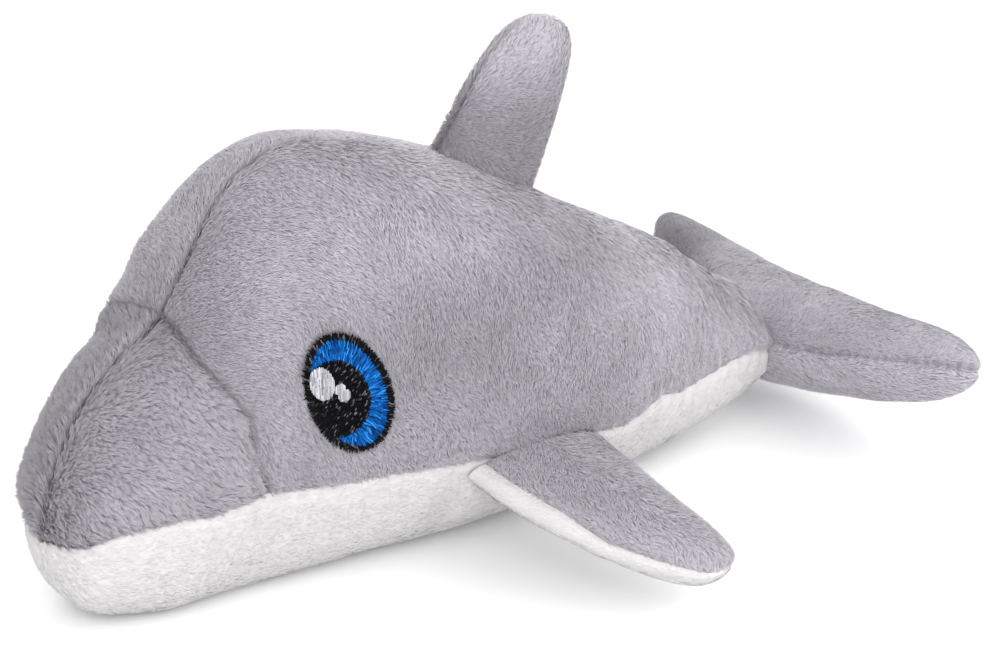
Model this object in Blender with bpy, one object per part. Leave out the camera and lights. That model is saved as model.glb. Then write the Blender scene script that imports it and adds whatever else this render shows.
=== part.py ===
# Plush dolphin: a stuffed soft toy, built as its sewn fabric panels, its fillings and its
# embroidered eyes.
# Units are metres, +Z is up, the snout points to -Y and the tail to +Y, and +X is the animal's left.
# The origin is on the floor, under the middle of the toy.
# Distances "from the snout" run along Y, and heights are measured from the floor.

import bmesh
import bpy
import numpy as np

for thing in list(bpy.data.objects):
    bpy.data.objects.remove(thing, do_unlink=True)

# Fabric and sewing
FABRIC = 0.0018  # plush fabric, its backing and its pressed pile together
SEAM_GAP = 0.0003  # open line left between two panels that are sewn together

# Body
CROWN_HEIGHT = 0.107  # floor to the top of the head
BODY_WIDTH = 0.072  # across the shoulders
TAIL_SEAM = 0.212  # snout to the seam around the tail
TAIL_TUCK = 0.012  # how far the body's end is tucked into the flukes
FLAT_SINK = 0.0016  # how far the round belly is pressed flat by the floor
BODY_LENGTH = TAIL_SEAM + TAIL_TUCK

# Beak seam
BEAK_TOP = 0.029  # snout to the seam on the top of the head
BEAK_LEAN = 0.015  # how far its lower end lies behind its upper end
LEAN_START = np.radians(62)  # the seam runs straight across the head down to here
LEAN_SPAN = np.radians(84)  # and reaches its full lean this much lower
LEAN_POWER = 1.7
LEAN_FADE = 0.36  # rings behind the seam stand straight again after this step

# Dorsal fin
FIN_FROM_SNOUT = 0.1225  # to the middle of the fin's foot
FIN_RISE = 0.0390
FIN_TUCK = 0.0120  # sewn-in depth below the back
FIN_CHORD = 0.0366
FIN_THICKNESS = 0.0145
FIN_RAKE = np.radians(23.7)  # how far it leans to the tail

# Flippers
FLIPPER_FROM_SNOUT = 0.1195
FLIPPER_BELOW_SEAM = 0.0022  # root below the belly seam
FLIPPER_TUCK = 0.0127  # sewn-in depth inside the body's side
FLIPPER_REACH = 0.0490  # from the body's side outwards
FLIPPER_CHORD = 0.041
FLIPPER_THICKNESS = 0.0150
FLIPPER_DROP = 0.0137  # over the same reach

# Flukes
FLUKE_SPAN = 0.121
FLUKE_CHORD = 0.0395
FLUKE_THICKNESS = 0.0285
FLUKE_BELOW_TAIL = 0.0008  # middle plane below the middle of the tail
FLUKE_LIFT = 0.0095  # tips above the middle
FLUKE_PITCH = 0.003  # front seam above the middle plane

# Eyes
EYE_FROM_SNOUT = 0.0614
EYE_HEIGHT = 0.0569
EYE_LONG = 0.0343
EYE_SHORT = 0.0195
EYE_TILT = np.radians(27.0)
EYE_OUTLINE = 0.0015  # width of the black line
PUPIL_LONG = 0.0226
PUPIL_SHORT = 0.0148
PUPIL_FORWARD = 0.0028  # its middle lies this far to the snout
THREAD = 0.0006  # height of one layer of stitches
THREAD_GAP = 0.00035  # stitches above the fabric
LARGE_HIGHLIGHT = (0.0056, 0.0090)  # across and along the eye
LARGE_HIGHLIGHT_PLACE = (-0.0044, 0.0063)  # from the middle of the eye
SMALL_HIGHLIGHT = (0.0032, 0.0056)
SMALL_HIGHLIGHT_PLACE = (-0.0010, 0.0009)

OVERALL_LENGTH = TAIL_SEAM + FLUKE_CHORD
SNOUT_Y = -OVERALL_LENGTH / 2

# The body's outline. Each row: distance from the snout as a share of BODY_LENGTH, then top, bottom
# and belly seam as shares of CROWN_HEIGHT, and half width as a share of half BODY_WIDTH.
BODY_OUTLINE = [
    (0.000, 0.203, 0.203, 0.203, 0.000),
    (0.017, 0.400, 0.084, 0.240, 0.417),
    (0.049, 0.514, 0.032, 0.280, 0.569),
    (0.090, 0.602, 0.010, 0.302, 0.685),
    (0.126, 0.660, 0.000, 0.312, 0.750),
    (0.160, 0.780, 0.000, 0.317, 0.785),
    (0.196, 0.905, 0.000, 0.315, 0.810),
    (0.270, 1.000, 0.000, 0.300, 0.870),
    (0.363, 0.980, 0.000, 0.292, 0.950),
    (0.494, 0.893, 0.000, 0.272, 1.000),
    (0.645, 0.742, 0.006, 0.248, 0.900),
    (0.817, 0.560, 0.034, 0.262, 0.650),
    (0.946, 0.345, 0.092, 0.250, 0.385),
    (1.000, 0.255, 0.135, 0.215, 0.260),
]
WIDEST_SHARE = 0.64  # height of the widest place, as a share of the height there
UPPER_POWER = 2.1  # roundness above the widest place, where 2 is an ellipse
LOWER_POWER = 2.4  # and below it

# Grids
NOSE_START = 0.007  # first ring, a small round opening under the pile of the nose
BEAK_RINGS = 7
BODY_RINGS = 19
SIDE_COLUMNS = 9
BELLY_COLUMNS = 8
BELLY_BUNCHING = 1.35  # brings the middle columns closer together, to the edges of the flat
FIN_RINGS = 9
FIN_COLUMNS = 6
FLUKE_RINGS = 17
EYE_TURNS = 40  # columns around the outline of an eye
IRIS_TURNS = 26
IRIS_RINGS = 2
PUPIL_TURNS = 32
HIGHLIGHT_TURNS = 16
DISC_STEP = 0.6  # inner ring of a filled patch of stitches
TIP = 0.97  # last ring of a fin
SMALL_STEP = 1e-4
LONGEST_INSET = 0.45  # of the distance to the next point

GREY = (0.40, 0.385, 0.41)
WHITE = (0.82, 0.82, 0.81)
BLACK = (0.012, 0.012, 0.016)
BLUE = (0.010, 0.180, 0.640)
HIGHLIGHT = (0.62, 0.62, 0.65)
FIBRE = (0.90, 0.90, 0.88)
PILE_ROUGHNESS = 0.9
FIBRE_ROUGHNESS = 1.0
THREAD_ROUGHNESS = 0.45


def curve_through(knots, rows):
    # A smooth curve through the rows, whose slopes come from the neighbouring rows.
    knots = np.asarray(knots, float)
    rows = np.asarray(rows, float)
    slopes = np.gradient(rows, knots, axis=0)

    def at(place):
        place = np.asarray(place, float)
        span = np.clip(np.searchsorted(knots, place, side="right") - 1, 0, len(knots) - 2)
        width = (knots[span + 1] - knots[span])[..., None]
        part = (place - knots[span])[..., None] / width
        rest = 1 - part
        start = rest**2 * ((1 + 2 * part) * rows[span] + part * width * slopes[span])
        end = part**2 * ((1 + 2 * rest) * rows[span + 1] - rest * width * slopes[span + 1])
        return start + end

    return at


def smooth_step(value):
    value = np.clip(value, 0, 1)
    return value * value * (3 - 2 * value)


def signed_power(value, power):
    return np.sign(value) * np.abs(value) ** power


# Rings are spaced by the square root of the distance from the snout, which rounds the nose.
body_knots = np.sqrt([row[0] for row in BODY_OUTLINE])
body_outline = curve_through(body_knots, [row[1:] for row in BODY_OUTLINE])
BEAK_RING = np.sqrt(BEAK_TOP / BODY_LENGTH)
BEAK_LEAN_RINGS = np.sqrt((BEAK_TOP + BEAK_LEAN) / BODY_LENGTH) - BEAK_RING


def body_section(ring):
    top, bottom, seam, half_width = np.moveaxis(body_outline(ring), -1, 0)
    top = top * CROWN_HEIGHT
    bottom = bottom * CROWN_HEIGHT - FLAT_SINK * smooth_step(ring * 4)
    widest = bottom + WIDEST_SHARE * (top - bottom)
    return top, bottom, seam * CROWN_HEIGHT, half_width * BODY_WIDTH / 2, widest


def body_surface(ring, angle):
    # Angle 0 is the left side, 90 degrees the top and -90 degrees the belly.
    top, bottom, seam, half_width, widest = body_section(ring)
    sine = np.sin(angle)
    power = np.where(sine > 0, 2 / UPPER_POWER, 2 / LOWER_POWER)
    height = np.where(sine > 0, top - widest, widest - bottom)
    x = half_width * signed_power(np.cos(angle), power)
    y = SNOUT_Y + BODY_LENGTH * ring**2
    z = widest + height * signed_power(sine, power)
    return np.stack(np.broadcast_arrays(x, y, z), -1)


def leaning_ring(ring, angle):
    # Rings near the beak seam lean back towards the belly, so that one of them is the seam.
    down = np.arcsin(np.clip(np.sin(angle), -1, 1))
    lean = np.clip((LEAN_START - down) / LEAN_SPAN, 0, 1) ** LEAN_POWER
    before = smooth_step(ring / BEAK_RING)
    after = 1 - smooth_step((ring - BEAK_RING) / LEAN_FADE)
    return ring + BEAK_LEAN_RINGS * lean * np.where(ring < BEAK_RING, before, after)


def belly_seam_angle(ring):
    leaned = leaning_ring(ring, LEAN_START - LEAN_SPAN)
    top, bottom, seam, half_width, widest = body_section(leaned)
    drop = np.clip((widest - seam) / (widest - bottom), 0.02, 0.98)
    return -np.arcsin(drop ** (LOWER_POWER / 2))


def body_grid_surface(ring, angle):
    return body_surface(leaning_ring(ring, angle), angle)


def outward(surface, first, second, centre):
    # Unit normals of a surface by small differences, pointing away from the centre of each ring.
    along = surface(first + SMALL_STEP, second) - surface(first - SMALL_STEP, second)
    around = surface(first, second + SMALL_STEP) - surface(first, second - SMALL_STEP)
    normal = np.cross(along, around)
    normal /= np.linalg.norm(normal, axis=-1, keepdims=True) + 1e-12
    side = np.sum(normal * (surface(first, second) - centre), -1, keepdims=True)
    return np.where(side < 0, -normal, normal)


def body_normal(ring, angle):
    leaned = leaning_ring(ring, angle)
    top, bottom, seam, half_width, widest = body_section(leaned)
    behind = SNOUT_Y + BODY_LENGTH * leaned**2 + 2 * FABRIC
    centre = np.stack(np.broadcast_arrays(0, behind, (top + bottom) / 2), -1)
    return outward(body_surface, leaned, angle, centre)


def body_points(ring, angle, depth):
    # Points at a depth under the body's surface, and not under the floor it lies on.
    points = body_grid_surface(ring, angle) - depth * body_normal(ring, angle)
    points[..., 2] = np.maximum(points[..., 2], depth)
    return points


def side_point(back, height, lift):
    # The point of the left side at a distance from the snout and a height, lifted off the fabric.
    ring = np.sqrt(back / BODY_LENGTH)
    top, bottom, seam, half_width, widest = body_section(ring)
    upper = height > widest
    share = np.where(upper, (height - widest) / (top - widest), (widest - height) / (widest - bottom))
    power = np.where(upper, UPPER_POWER, LOWER_POWER)
    angle = np.arcsin(np.clip(share, 0, 0.999) ** (power / 2)) * np.where(upper, 1, -1)
    centre = np.stack([0 * back, SNOUT_Y + back, widest], -1)
    return body_surface(ring, angle) + lift * outward(body_surface, ring, angle, centre)


def fin_surface(leading, trailing, half_thickness, normal):
    # A stuffed fin between a leading and a trailing seam. Angle 0 is the leading seam.
    def surface(place, angle):
        front = leading(place)
        back = trailing(place)
        thick = half_thickness(place) * normal
        forward = np.cos(angle)[..., None] * (front - back) / 2
        return (front + back) / 2 + forward + np.sin(angle)[..., None] * thick

    return surface


def fin_points(surface, place, angle, depth):
    centre = (surface(place, angle) + surface(place, angle + np.pi)) / 2
    return surface(place, angle) - depth * outward(surface, place, angle, centre)


def material(name, colour, roughness):
    made = bpy.data.materials.new(name)
    made.use_nodes = True
    shader = made.node_tree.nodes["Principled BSDF"]
    shader.inputs["Base Color"].default_value = (*colour, 1)
    shader.inputs["Roughness"].default_value = roughness
    shader.inputs["Metallic"].default_value = 0
    return made


def add_object(name, vertices, faces, colour, roughness):
    mesh = bpy.data.meshes.new(name)
    mesh.from_pydata([tuple(vertex) for vertex in vertices], [], faces)
    work = bmesh.new()
    work.from_mesh(mesh)
    bmesh.ops.triangulate(work, faces=work.faces)
    bmesh.ops.recalc_face_normals(work, faces=work.faces)
    work.to_mesh(mesh)
    work.free()
    mesh.materials.append(material(name, colour, roughness))
    made = bpy.data.objects.new(name, mesh)
    bpy.context.scene.collection.objects.link(made)
    return made


def quads(rows, columns, closed, start=0):
    across = columns if closed else columns - 1
    faces = []
    for row in range(rows - 1):
        for column in range(across):
            beside = (column + 1) % columns
            near = start + row * columns
            far = near + columns
            faces.append((near + column, near + beside, far + beside, far + column))
    return faces


def sheet(name, outer, inner, colour, roughness, around=False):
    # One layer of fabric or thread between an outer and an inner grid of points.
    rows, columns = outer.shape[:2]
    count = rows * columns
    faces = quads(rows, columns, around)
    faces += [tuple(reversed(face)) for face in quads(rows, columns, around, count)]
    for row in (0, rows - 1):
        for column in range(columns if around else columns - 1):
            near = row * columns + column
            beside = row * columns + (column + 1) % columns
            faces.append((near, beside, beside + count, near + count))
    if not around:
        for column in (0, columns - 1):
            for row in range(rows - 1):
                near = row * columns + column
                faces.append((near, near + columns, near + columns + count, near + count))
    vertices = np.concatenate([outer.reshape(-1, 3), inner.reshape(-1, 3)])
    return add_object(name, vertices, faces, colour, roughness)


def stuffed(name, rings, colour, roughness=FIBRE_ROUGHNESS):
    # A solid through closed rings, with a point in the middle of each end.
    rows, columns = rings.shape[:2]
    ends = [rings[0].mean(0), rings[-1].mean(0)]
    faces = quads(rows, columns, True)
    for column in range(columns):
        beside = (column + 1) % columns
        faces.append((rows * columns, column, beside))
        faces.append((rows * columns + 1, (rows - 1) * columns + column, (rows - 1) * columns + beside))
    return add_object(name, np.concatenate([rings.reshape(-1, 3), ends]), faces, colour, roughness)


def inset_ends(points, gap):
    # Moves the first and the last point of each row inwards along the row.
    result = points.copy()
    for end, beside in ((0, 1), (-1, -2)):
        way = points[:, beside] - points[:, end]
        length = np.linalg.norm(way, axis=-1, keepdims=True)
        result[:, end] += way / (length + 1e-12) * np.minimum(gap, LONGEST_INSET * length)
    return result


def trim_rows(points, gap, first, last):
    # Moves the first and last row inwards where they meet another panel.
    flipped = np.swapaxes(points, 0, 1)
    moved = np.swapaxes(inset_ends(flipped, gap), 0, 1)
    result = points.copy()
    if first:
        result[0] = moved[0]
    if last:
        result[-1] = moved[-1]
    return result


def body_rings():
    beak = np.linspace(NOSE_START, BEAK_RING, BEAK_RINGS + 1)
    rest = np.linspace(BEAK_RING, 1, BODY_RINGS + 1)
    return beak, rest


def side_angles(rings):
    seam = belly_seam_angle(rings)[:, None]
    return np.pi / 2 + (seam - np.pi / 2) * np.linspace(0, 1, SIDE_COLUMNS + 1)


def belly_angles(rings):
    seam = belly_seam_angle(rings)[:, None]
    across = signed_power(np.linspace(1, -1, BELLY_COLUMNS + 1), BELLY_BUNCHING)
    return -np.pi / 2 + (seam + np.pi / 2) * across


def mirrored(points):
    return points * np.array([-1, 1, 1])


def body_panel(name, rings, angles, colour, first=False, last=False, mirror=False):
    grid = np.broadcast_to(rings[:, None], angles.shape)
    layers = []
    for depth in (0, FABRIC):
        points = inset_ends(body_points(grid, angles, depth), SEAM_GAP / 2)
        points = trim_rows(points, SEAM_GAP / 2, first, last)
        layers.append(mirrored(points) if mirror else points)
    return sheet(name, layers[0], layers[1], colour, PILE_ROUGHNESS)


def body_rings_at(depth):
    beak, rest = body_rings()
    rings = np.concatenate([beak, rest[1:]])
    side = side_angles(rings)
    other_side = np.pi - side[:, -2:0:-1]
    angles = np.concatenate([side, belly_angles(rings)[:, 1:], other_side], axis=1)
    grid = np.broadcast_to(rings[:, None], angles.shape)
    return body_points(grid, angles, depth)


def make_body():
    beak, rest = body_rings()
    every = np.concatenate([beak, rest[1:]])
    for side, mirror in (("left", False), ("right", True)):
        body_panel(f"beak_panel_{side}", beak, side_angles(beak), GREY, last=True, mirror=mirror)
        body_panel(f"side_panel_{side}", rest, side_angles(rest), GREY, first=True, mirror=mirror)
    body_panel("belly_panel", every, belly_angles(every), WHITE)
    stuffed("body_filling", body_rings_at(FABRIC + SEAM_GAP), FIBRE)


def body_clearance():
    # The body with the sewing gap around it. It cuts the roots of the fins to the body's shape.
    cutter = stuffed("body_clearance", body_rings_at(-SEAM_GAP), FIBRE)
    cutter.hide_render = True
    cutter.display_type = "WIRE"
    return cutter


def cut_root(target, cutter):
    cut = target.modifiers.new("root", "BOOLEAN")
    cut.operation = "DIFFERENCE"
    cut.solver = "EXACT"
    cut.object = cutter


def round_tip(place):
    return 1 - (1 - place) ** 2


def fin_panel(name, surface, places, start, colour, cutter, mirror=False):
    angles = start + np.linspace(0, np.pi, FIN_COLUMNS + 1)
    place, angle = np.meshgrid(places, angles, indexing="ij")
    layers = []
    for depth in (0, FABRIC):
        points = inset_ends(fin_points(surface, place, angle, depth), SEAM_GAP / 2)
        layers.append(mirrored(points) if mirror else points)
    made = sheet(name, layers[0], layers[1], colour, PILE_ROUGHNESS)
    cut_root(made, cutter)
    return made


def fin_filling(name, surface, places, cutter, mirror=False):
    angles = np.linspace(0, 2 * np.pi, 2 * FIN_COLUMNS, endpoint=False)
    place, angle = np.meshgrid(places, angles, indexing="ij")
    points = fin_points(surface, place, angle, FABRIC + SEAM_GAP)
    made = stuffed(name, mirrored(points) if mirror else points, FIBRE)
    cut_root(made, cutter)
    return made


# Dorsal fin. Each row: place from the tucked root to the tip, half chord and half thickness as
# shares of the root's, and how far the middle line bows to the front, as a share of the chord.
DORSAL_OUTLINE = [
    (0.00, 1.06, 1.05, 0.00),
    (0.20, 1.00, 1.00, 0.00),
    (0.40, 0.92, 0.94, 0.01),
    (0.60, 0.76, 0.80, 0.02),
    (0.80, 0.44, 0.50, 0.03),
    (1.00, 0.00, 0.00, 0.03),
]


def dorsal_surface():
    up = np.array([0, np.sin(FIN_RAKE), np.cos(FIN_RAKE)])
    forward = np.array([0, -np.cos(FIN_RAKE), np.sin(FIN_RAKE)])
    back = body_section(np.sqrt(FIN_FROM_SNOUT / BODY_LENGTH))[0]
    foot = np.array([0, SNOUT_Y + FIN_FROM_SNOUT, back]) - up * FIN_TUCK
    outline = curve_through([row[0] for row in DORSAL_OUTLINE], [row[1:] for row in DORSAL_OUTLINE])

    def edge(sign):
        def at(place):
            chord, thick, bow = np.moveaxis(outline(place), -1, 0)
            rise = (FIN_TUCK + FIN_RISE) * round_tip(place)
            reach = sign * chord * FIN_CHORD / 2 + bow * FIN_CHORD
            return foot + rise[..., None] * up + reach[..., None] * forward

        return at

    def half_thickness(place):
        return outline(place)[..., 1:2] * FIN_THICKNESS / 2

    return fin_surface(edge(1), edge(-1), half_thickness, np.array([1.0, 0, 0]))


def make_dorsal_fin(cutter):
    surface = dorsal_surface()
    places = np.linspace(0, TIP, FIN_RINGS + 1)
    fin_panel("dorsal_fin_panel_left", surface, places, 0, GREY, cutter)
    fin_panel("dorsal_fin_panel_right", surface, places, np.pi, GREY, cutter)
    fin_filling("dorsal_fin_filling", surface, places, cutter)


# Flipper. Each row: place from root to tip, then the leading and the trailing edge behind the root's
# middle as shares of the root chord, and half thickness as a share of the root's.
FLIPPER_OUTLINE = [
    (0.00, -0.60, 0.47, 0.80),
    (0.22, -0.44, 0.52, 0.88),
    (0.42, -0.22, 0.57, 0.96),
    (0.62, 0.02, 0.59, 1.00),
    (0.82, 0.22, 0.56, 0.68),
    (1.00, 0.39, 0.39, 0.00),
]


def flipper_surface():
    seam = body_section(np.sqrt(FLIPPER_FROM_SNOUT / BODY_LENGTH))[2]
    foot = side_point(np.array(FLIPPER_FROM_SNOUT), seam - FLIPPER_BELOW_SEAM, 0)
    out = np.array([FLIPPER_REACH, 0, -FLIPPER_DROP])
    out = out / np.linalg.norm(out)
    length = FLIPPER_TUCK + np.hypot(FLIPPER_REACH, FLIPPER_DROP)
    normal = np.array([-out[2], 0, out[0]])
    outline = curve_through([row[0] for row in FLIPPER_OUTLINE], [row[1:] for row in FLIPPER_OUTLINE])

    def edge(column):
        def at(place):
            share = outline(place)[..., column]
            along = length * round_tip(place) - FLIPPER_TUCK
            back = share * FLIPPER_CHORD
            return foot + along[..., None] * out + back[..., None] * np.array([0, 1.0, 0])

        return at

    def half_thickness(place):
        return outline(place)[..., 2:3] * FLIPPER_THICKNESS / 2

    return fin_surface(edge(0), edge(1), half_thickness, normal)


def make_flippers(cutter):
    surface = flipper_surface()
    places = np.linspace(0, TIP, FIN_RINGS + 1)
    for side, mirror in (("left", False), ("right", True)):
        fin_panel(f"flipper_top_{side}", surface, places, 0, GREY, cutter, mirror)
        fin_panel(f"flipper_underside_{side}", surface, places, np.pi, WHITE, cutter, mirror)
        fin_filling(f"flipper_filling_{side}", surface, places, cutter, mirror)


# Flukes. Each row: place from the middle to a tip, then the front and the back edge behind the tail
# seam as shares of FLUKE_CHORD, half thickness as a share of the middle's, and lift as a share.
FLUKE_OUTLINE = [
    (0.00, 0.000, 0.970, 1.04, 0.00),
    (0.10, 0.080, 0.980, 1.03, 0.10),
    (0.22, 0.200, 0.992, 1.00, 0.28),
    (0.36, 0.330, 1.000, 0.94, 0.50),
    (0.54, 0.500, 1.000, 0.80, 0.72),
    (0.71, 0.635, 0.970, 0.56, 0.88),
    (1.00, 0.820, 0.820, 0.00, 1.00),
]


def fluke_surface():
    half = [row[0] for row in FLUKE_OUTLINE]
    knots = [-place for place in half[:0:-1]] + half
    rows = [row[1:] for row in FLUKE_OUTLINE]
    outline = curve_through(knots, rows[:0:-1] + rows)
    top, bottom = body_section(np.sqrt(TAIL_SEAM / BODY_LENGTH))[:2]
    middle = (top + bottom) / 2 - FLUKE_BELOW_TAIL

    def edge(column, pitch):
        def at(place):
            shares = outline(place)
            x = np.sign(place) * round_tip(np.abs(place)) * FLUKE_SPAN / 2
            y = SNOUT_Y + TAIL_SEAM + shares[..., column] * FLUKE_CHORD
            z = middle + shares[..., 3] * FLUKE_LIFT + pitch * shares[..., 2] * FLUKE_PITCH
            return np.stack([x, y, z], -1)

        return at

    def half_thickness(place):
        return outline(place)[..., 2:3] * FLUKE_THICKNESS / 2

    return fin_surface(edge(0, 1), edge(1, -1), half_thickness, np.array([0, 0, 1.0]))


def fluke_places():
    return np.linspace(-TIP, TIP, FLUKE_RINGS + 1)


def make_flukes(cutter):
    surface = fluke_surface()
    fin_panel("fluke_upper_panel", surface, fluke_places(), 0, GREY, cutter)
    fin_panel("fluke_lower_panel", surface, fluke_places(), np.pi, GREY, cutter)
    fin_filling("fluke_filling", surface, fluke_places(), cutter)


def eye_plane(short, long):
    # Turns eye coordinates into distance from the snout and height. The top leans to the snout.
    back = EYE_FROM_SNOUT + short * np.cos(EYE_TILT) - long * np.sin(EYE_TILT)
    height = EYE_HEIGHT + short * np.sin(EYE_TILT) + long * np.cos(EYE_TILT)
    return back, height


def eye_layer(name, inner, outer, turns, steps, low, colour, mirror, around):
    # Stitches between two radii about the pupil's middle, over the given turns.
    shares = np.linspace(0, 1, steps + 1)[:, None]
    radius = inner(turns) + (outer(turns) - inner(turns)) * shares
    layers = []
    for lift in (low + THREAD, low):
        short = radius * np.cos(turns) - PUPIL_FORWARD
        long = radius * np.sin(turns)
        points = side_point(*eye_plane(short, long), lift)
        layers.append(mirrored(points) if mirror else points)
    return sheet(name, layers[0], layers[1], colour, THREAD_ROUGHNESS, around)


def eye_disc(name, radius, middle, low, colour, mirror, steps):
    # A filled patch of stitches around a middle point, given in eye coordinates.
    turns = np.linspace(0, 2 * np.pi, steps, endpoint=False)
    grids = []
    for lift in (low + THREAD, low):
        rings = []
        for share in (1, DISC_STEP):
            short = middle[0] + share * radius(turns) * np.cos(turns)
            long = middle[1] + share * radius(turns) * np.sin(turns)
            rings.append(side_point(*eye_plane(short, long), lift))
        grids.append(rings)
    loops = np.array([grids[0][1], grids[0][0], grids[1][0], grids[1][1]])
    return stuffed(name, mirrored(loops) if mirror else loops, colour, THREAD_ROUGHNESS)


def oval(long, short):
    def radius(turn):
        return long * short / 2 / np.hypot(long * np.cos(turn), short * np.sin(turn))

    return radius


def oval_from_pupil(long, short):
    # Distance from the pupil's middle to an oval around the eye's middle.
    def radius(turn):
        a = (np.cos(turn) / (short / 2)) ** 2 + (np.sin(turn) / (long / 2)) ** 2
        b = -2 * PUPIL_FORWARD * np.cos(turn) / (short / 2) ** 2
        c = (PUPIL_FORWARD / (short / 2)) ** 2 - 1
        return (-b + np.sqrt(b * b - 4 * a * c)) / (2 * a)

    return radius


def make_eye(side, mirror):
    outer = oval_from_pupil(EYE_LONG, EYE_SHORT)
    line = 2 * EYE_OUTLINE
    inner = oval_from_pupil(EYE_LONG - line, EYE_SHORT - line)
    line += 2 * SEAM_GAP
    edge = oval_from_pupil(EYE_LONG - line, EYE_SHORT - line)
    pupil = oval(PUPIL_LONG, PUPIL_SHORT)
    low = THREAD_GAP
    turns = np.linspace(0, 2 * np.pi, EYE_TURNS, endpoint=False)
    eye_layer(f"eye_outline_{side}", inner, outer, turns, 1, low, BLACK, mirror, True)

    def iris_inner(turn):
        return pupil(turn) + SEAM_GAP

    def pupil_edge(turn):
        return np.minimum(pupil(turn), edge(turn))

    # The iris shows where the pupil stays clear of the outline.
    every = np.linspace(-np.pi, np.pi, 2 * 360 + 1)
    shown = every[edge(every) - pupil(every) > 2 * SEAM_GAP]
    turns = np.linspace(shown[0], shown[-1], IRIS_TURNS)
    eye_layer(f"eye_iris_{side}", iris_inner, edge, turns, IRIS_RINGS, low, BLUE, mirror, False)
    eye_disc(f"eye_pupil_{side}", pupil_edge, (-PUPIL_FORWARD, 0), low, BLACK, mirror, PUPIL_TURNS)

    above = low + THREAD + SEAM_GAP
    highlights = [
        ("large", LARGE_HIGHLIGHT, LARGE_HIGHLIGHT_PLACE),
        ("small", SMALL_HIGHLIGHT, SMALL_HIGHLIGHT_PLACE),
    ]
    for size, (short, long), place in highlights:
        name = f"eye_highlight_{size}_{side}"
        eye_disc(name, oval(long, short), place, above, HIGHLIGHT, mirror, HIGHLIGHT_TURNS)


make_body()
clearance = body_clearance()
make_dorsal_fin(clearance)
make_flippers(clearance)
make_flukes(clearance)
make_eye("left", False)
make_eye("right", True)
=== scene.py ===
import bpy
import numpy as np
from mathutils import Matrix, Vector
from mathutils.bvhtree import BVHTree
from mathutils.kdtree import KDTree


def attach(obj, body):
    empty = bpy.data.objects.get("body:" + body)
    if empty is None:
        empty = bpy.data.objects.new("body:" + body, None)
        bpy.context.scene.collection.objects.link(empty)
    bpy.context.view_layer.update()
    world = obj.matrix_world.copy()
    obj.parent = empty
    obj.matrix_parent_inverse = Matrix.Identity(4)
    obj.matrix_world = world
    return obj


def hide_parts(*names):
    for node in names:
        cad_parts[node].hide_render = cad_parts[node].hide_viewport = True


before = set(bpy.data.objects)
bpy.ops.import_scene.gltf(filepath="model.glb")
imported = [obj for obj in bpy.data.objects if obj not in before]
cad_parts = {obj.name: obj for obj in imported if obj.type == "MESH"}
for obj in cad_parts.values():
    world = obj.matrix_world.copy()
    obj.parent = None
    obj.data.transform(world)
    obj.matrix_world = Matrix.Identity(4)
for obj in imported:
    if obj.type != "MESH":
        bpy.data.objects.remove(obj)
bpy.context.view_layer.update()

# Plush dolphin, 25 cm. Snout at -Y, tail at +Y, its left side at +X, floor at Z = 0.
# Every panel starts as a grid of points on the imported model's surface. The grid is pulled in at
# the seams, wrinkled, and then covered with pile: one thin leaning triangle for each lock of fibre.

mm = 0.001
upward = np.array([0.0, 0.0, 1.0])


# shape of the sewn panels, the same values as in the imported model

body = {
    "crownHeight": 107 * mm,
    "width": 72 * mm,
    "tailSeam": 212 * mm,
    "tailTuck": 12 * mm,
    "floorFlat": 1.6 * mm,
    "flatFrom": 0.25,
    "beakTop": 29 * mm,
    "beakLean": 15 * mm,
    "leanStart": np.radians(62),
    "leanSpan": np.radians(84),
    "leanPower": 1.7,
    "leanFade": 0.36,
    "widestShare": 0.64,
    "upperRoundness": 2.1,
    "lowerRoundness": 2.4,
    # share of the length; top, bottom and belly seam as shares of the crown; half width share
    "outline": [
        (0.000, 0.203, 0.203, 0.203, 0.000),
        (0.017, 0.400, 0.084, 0.240, 0.417),
        (0.049, 0.514, 0.032, 0.280, 0.569),
        (0.090, 0.602, 0.010, 0.302, 0.685),
        (0.126, 0.660, 0.000, 0.312, 0.750),
        (0.160, 0.780, 0.000, 0.317, 0.785),
        (0.196, 0.905, 0.000, 0.315, 0.810),
        (0.270, 1.000, 0.000, 0.300, 0.870),
        (0.363, 0.980, 0.000, 0.292, 0.950),
        (0.494, 0.893, 0.000, 0.272, 1.000),
        (0.645, 0.742, 0.006, 0.248, 0.900),
        (0.817, 0.560, 0.034, 0.262, 0.650),
        (0.946, 0.345, 0.092, 0.250, 0.385),
        (1.000, 0.255, 0.135, 0.215, 0.260),
    ],
    # gathered places of the belly seam, in mm: distance from the snout, width, rise
    "seamWaves": [(150, 6, -1.6), (164, 5, 1.9), (174, 5, -0.6)],
    # the right side's seam sits lower beside the snout
    "rightSeamDrop": (7, 7, -4.5),
}
flukeReach = 39.5 * mm
bodyLength = body["tailSeam"] + body["tailTuck"]
snoutY = -(body["tailSeam"] + flukeReach) / 2

fin = {
    "fromSnout": 122.5 * mm,
    "rise": 39 * mm,
    "tuck": 12 * mm,
    "chord": 36.6 * mm,
    "thickness": 14.5 * mm,
    "rake": np.radians(23.7),
    "outline": [
        (0.00, 1.06, 1.05, 0.00),
        (0.20, 1.00, 1.00, 0.00),
        (0.40, 0.92, 0.94, 0.01),
        (0.60, 0.76, 0.80, 0.02),
        (0.80, 0.44, 0.50, 0.03),
        (1.00, 0.00, 0.00, 0.03),
    ],
    # how far the front and the rear edge shift back, in mm: at the tip, and the whole edge
    "frontShift": (3.6, -0.8),
    "rearShift": (5.8, -2.8),
    "tipDrop": -0.4,
}

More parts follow.
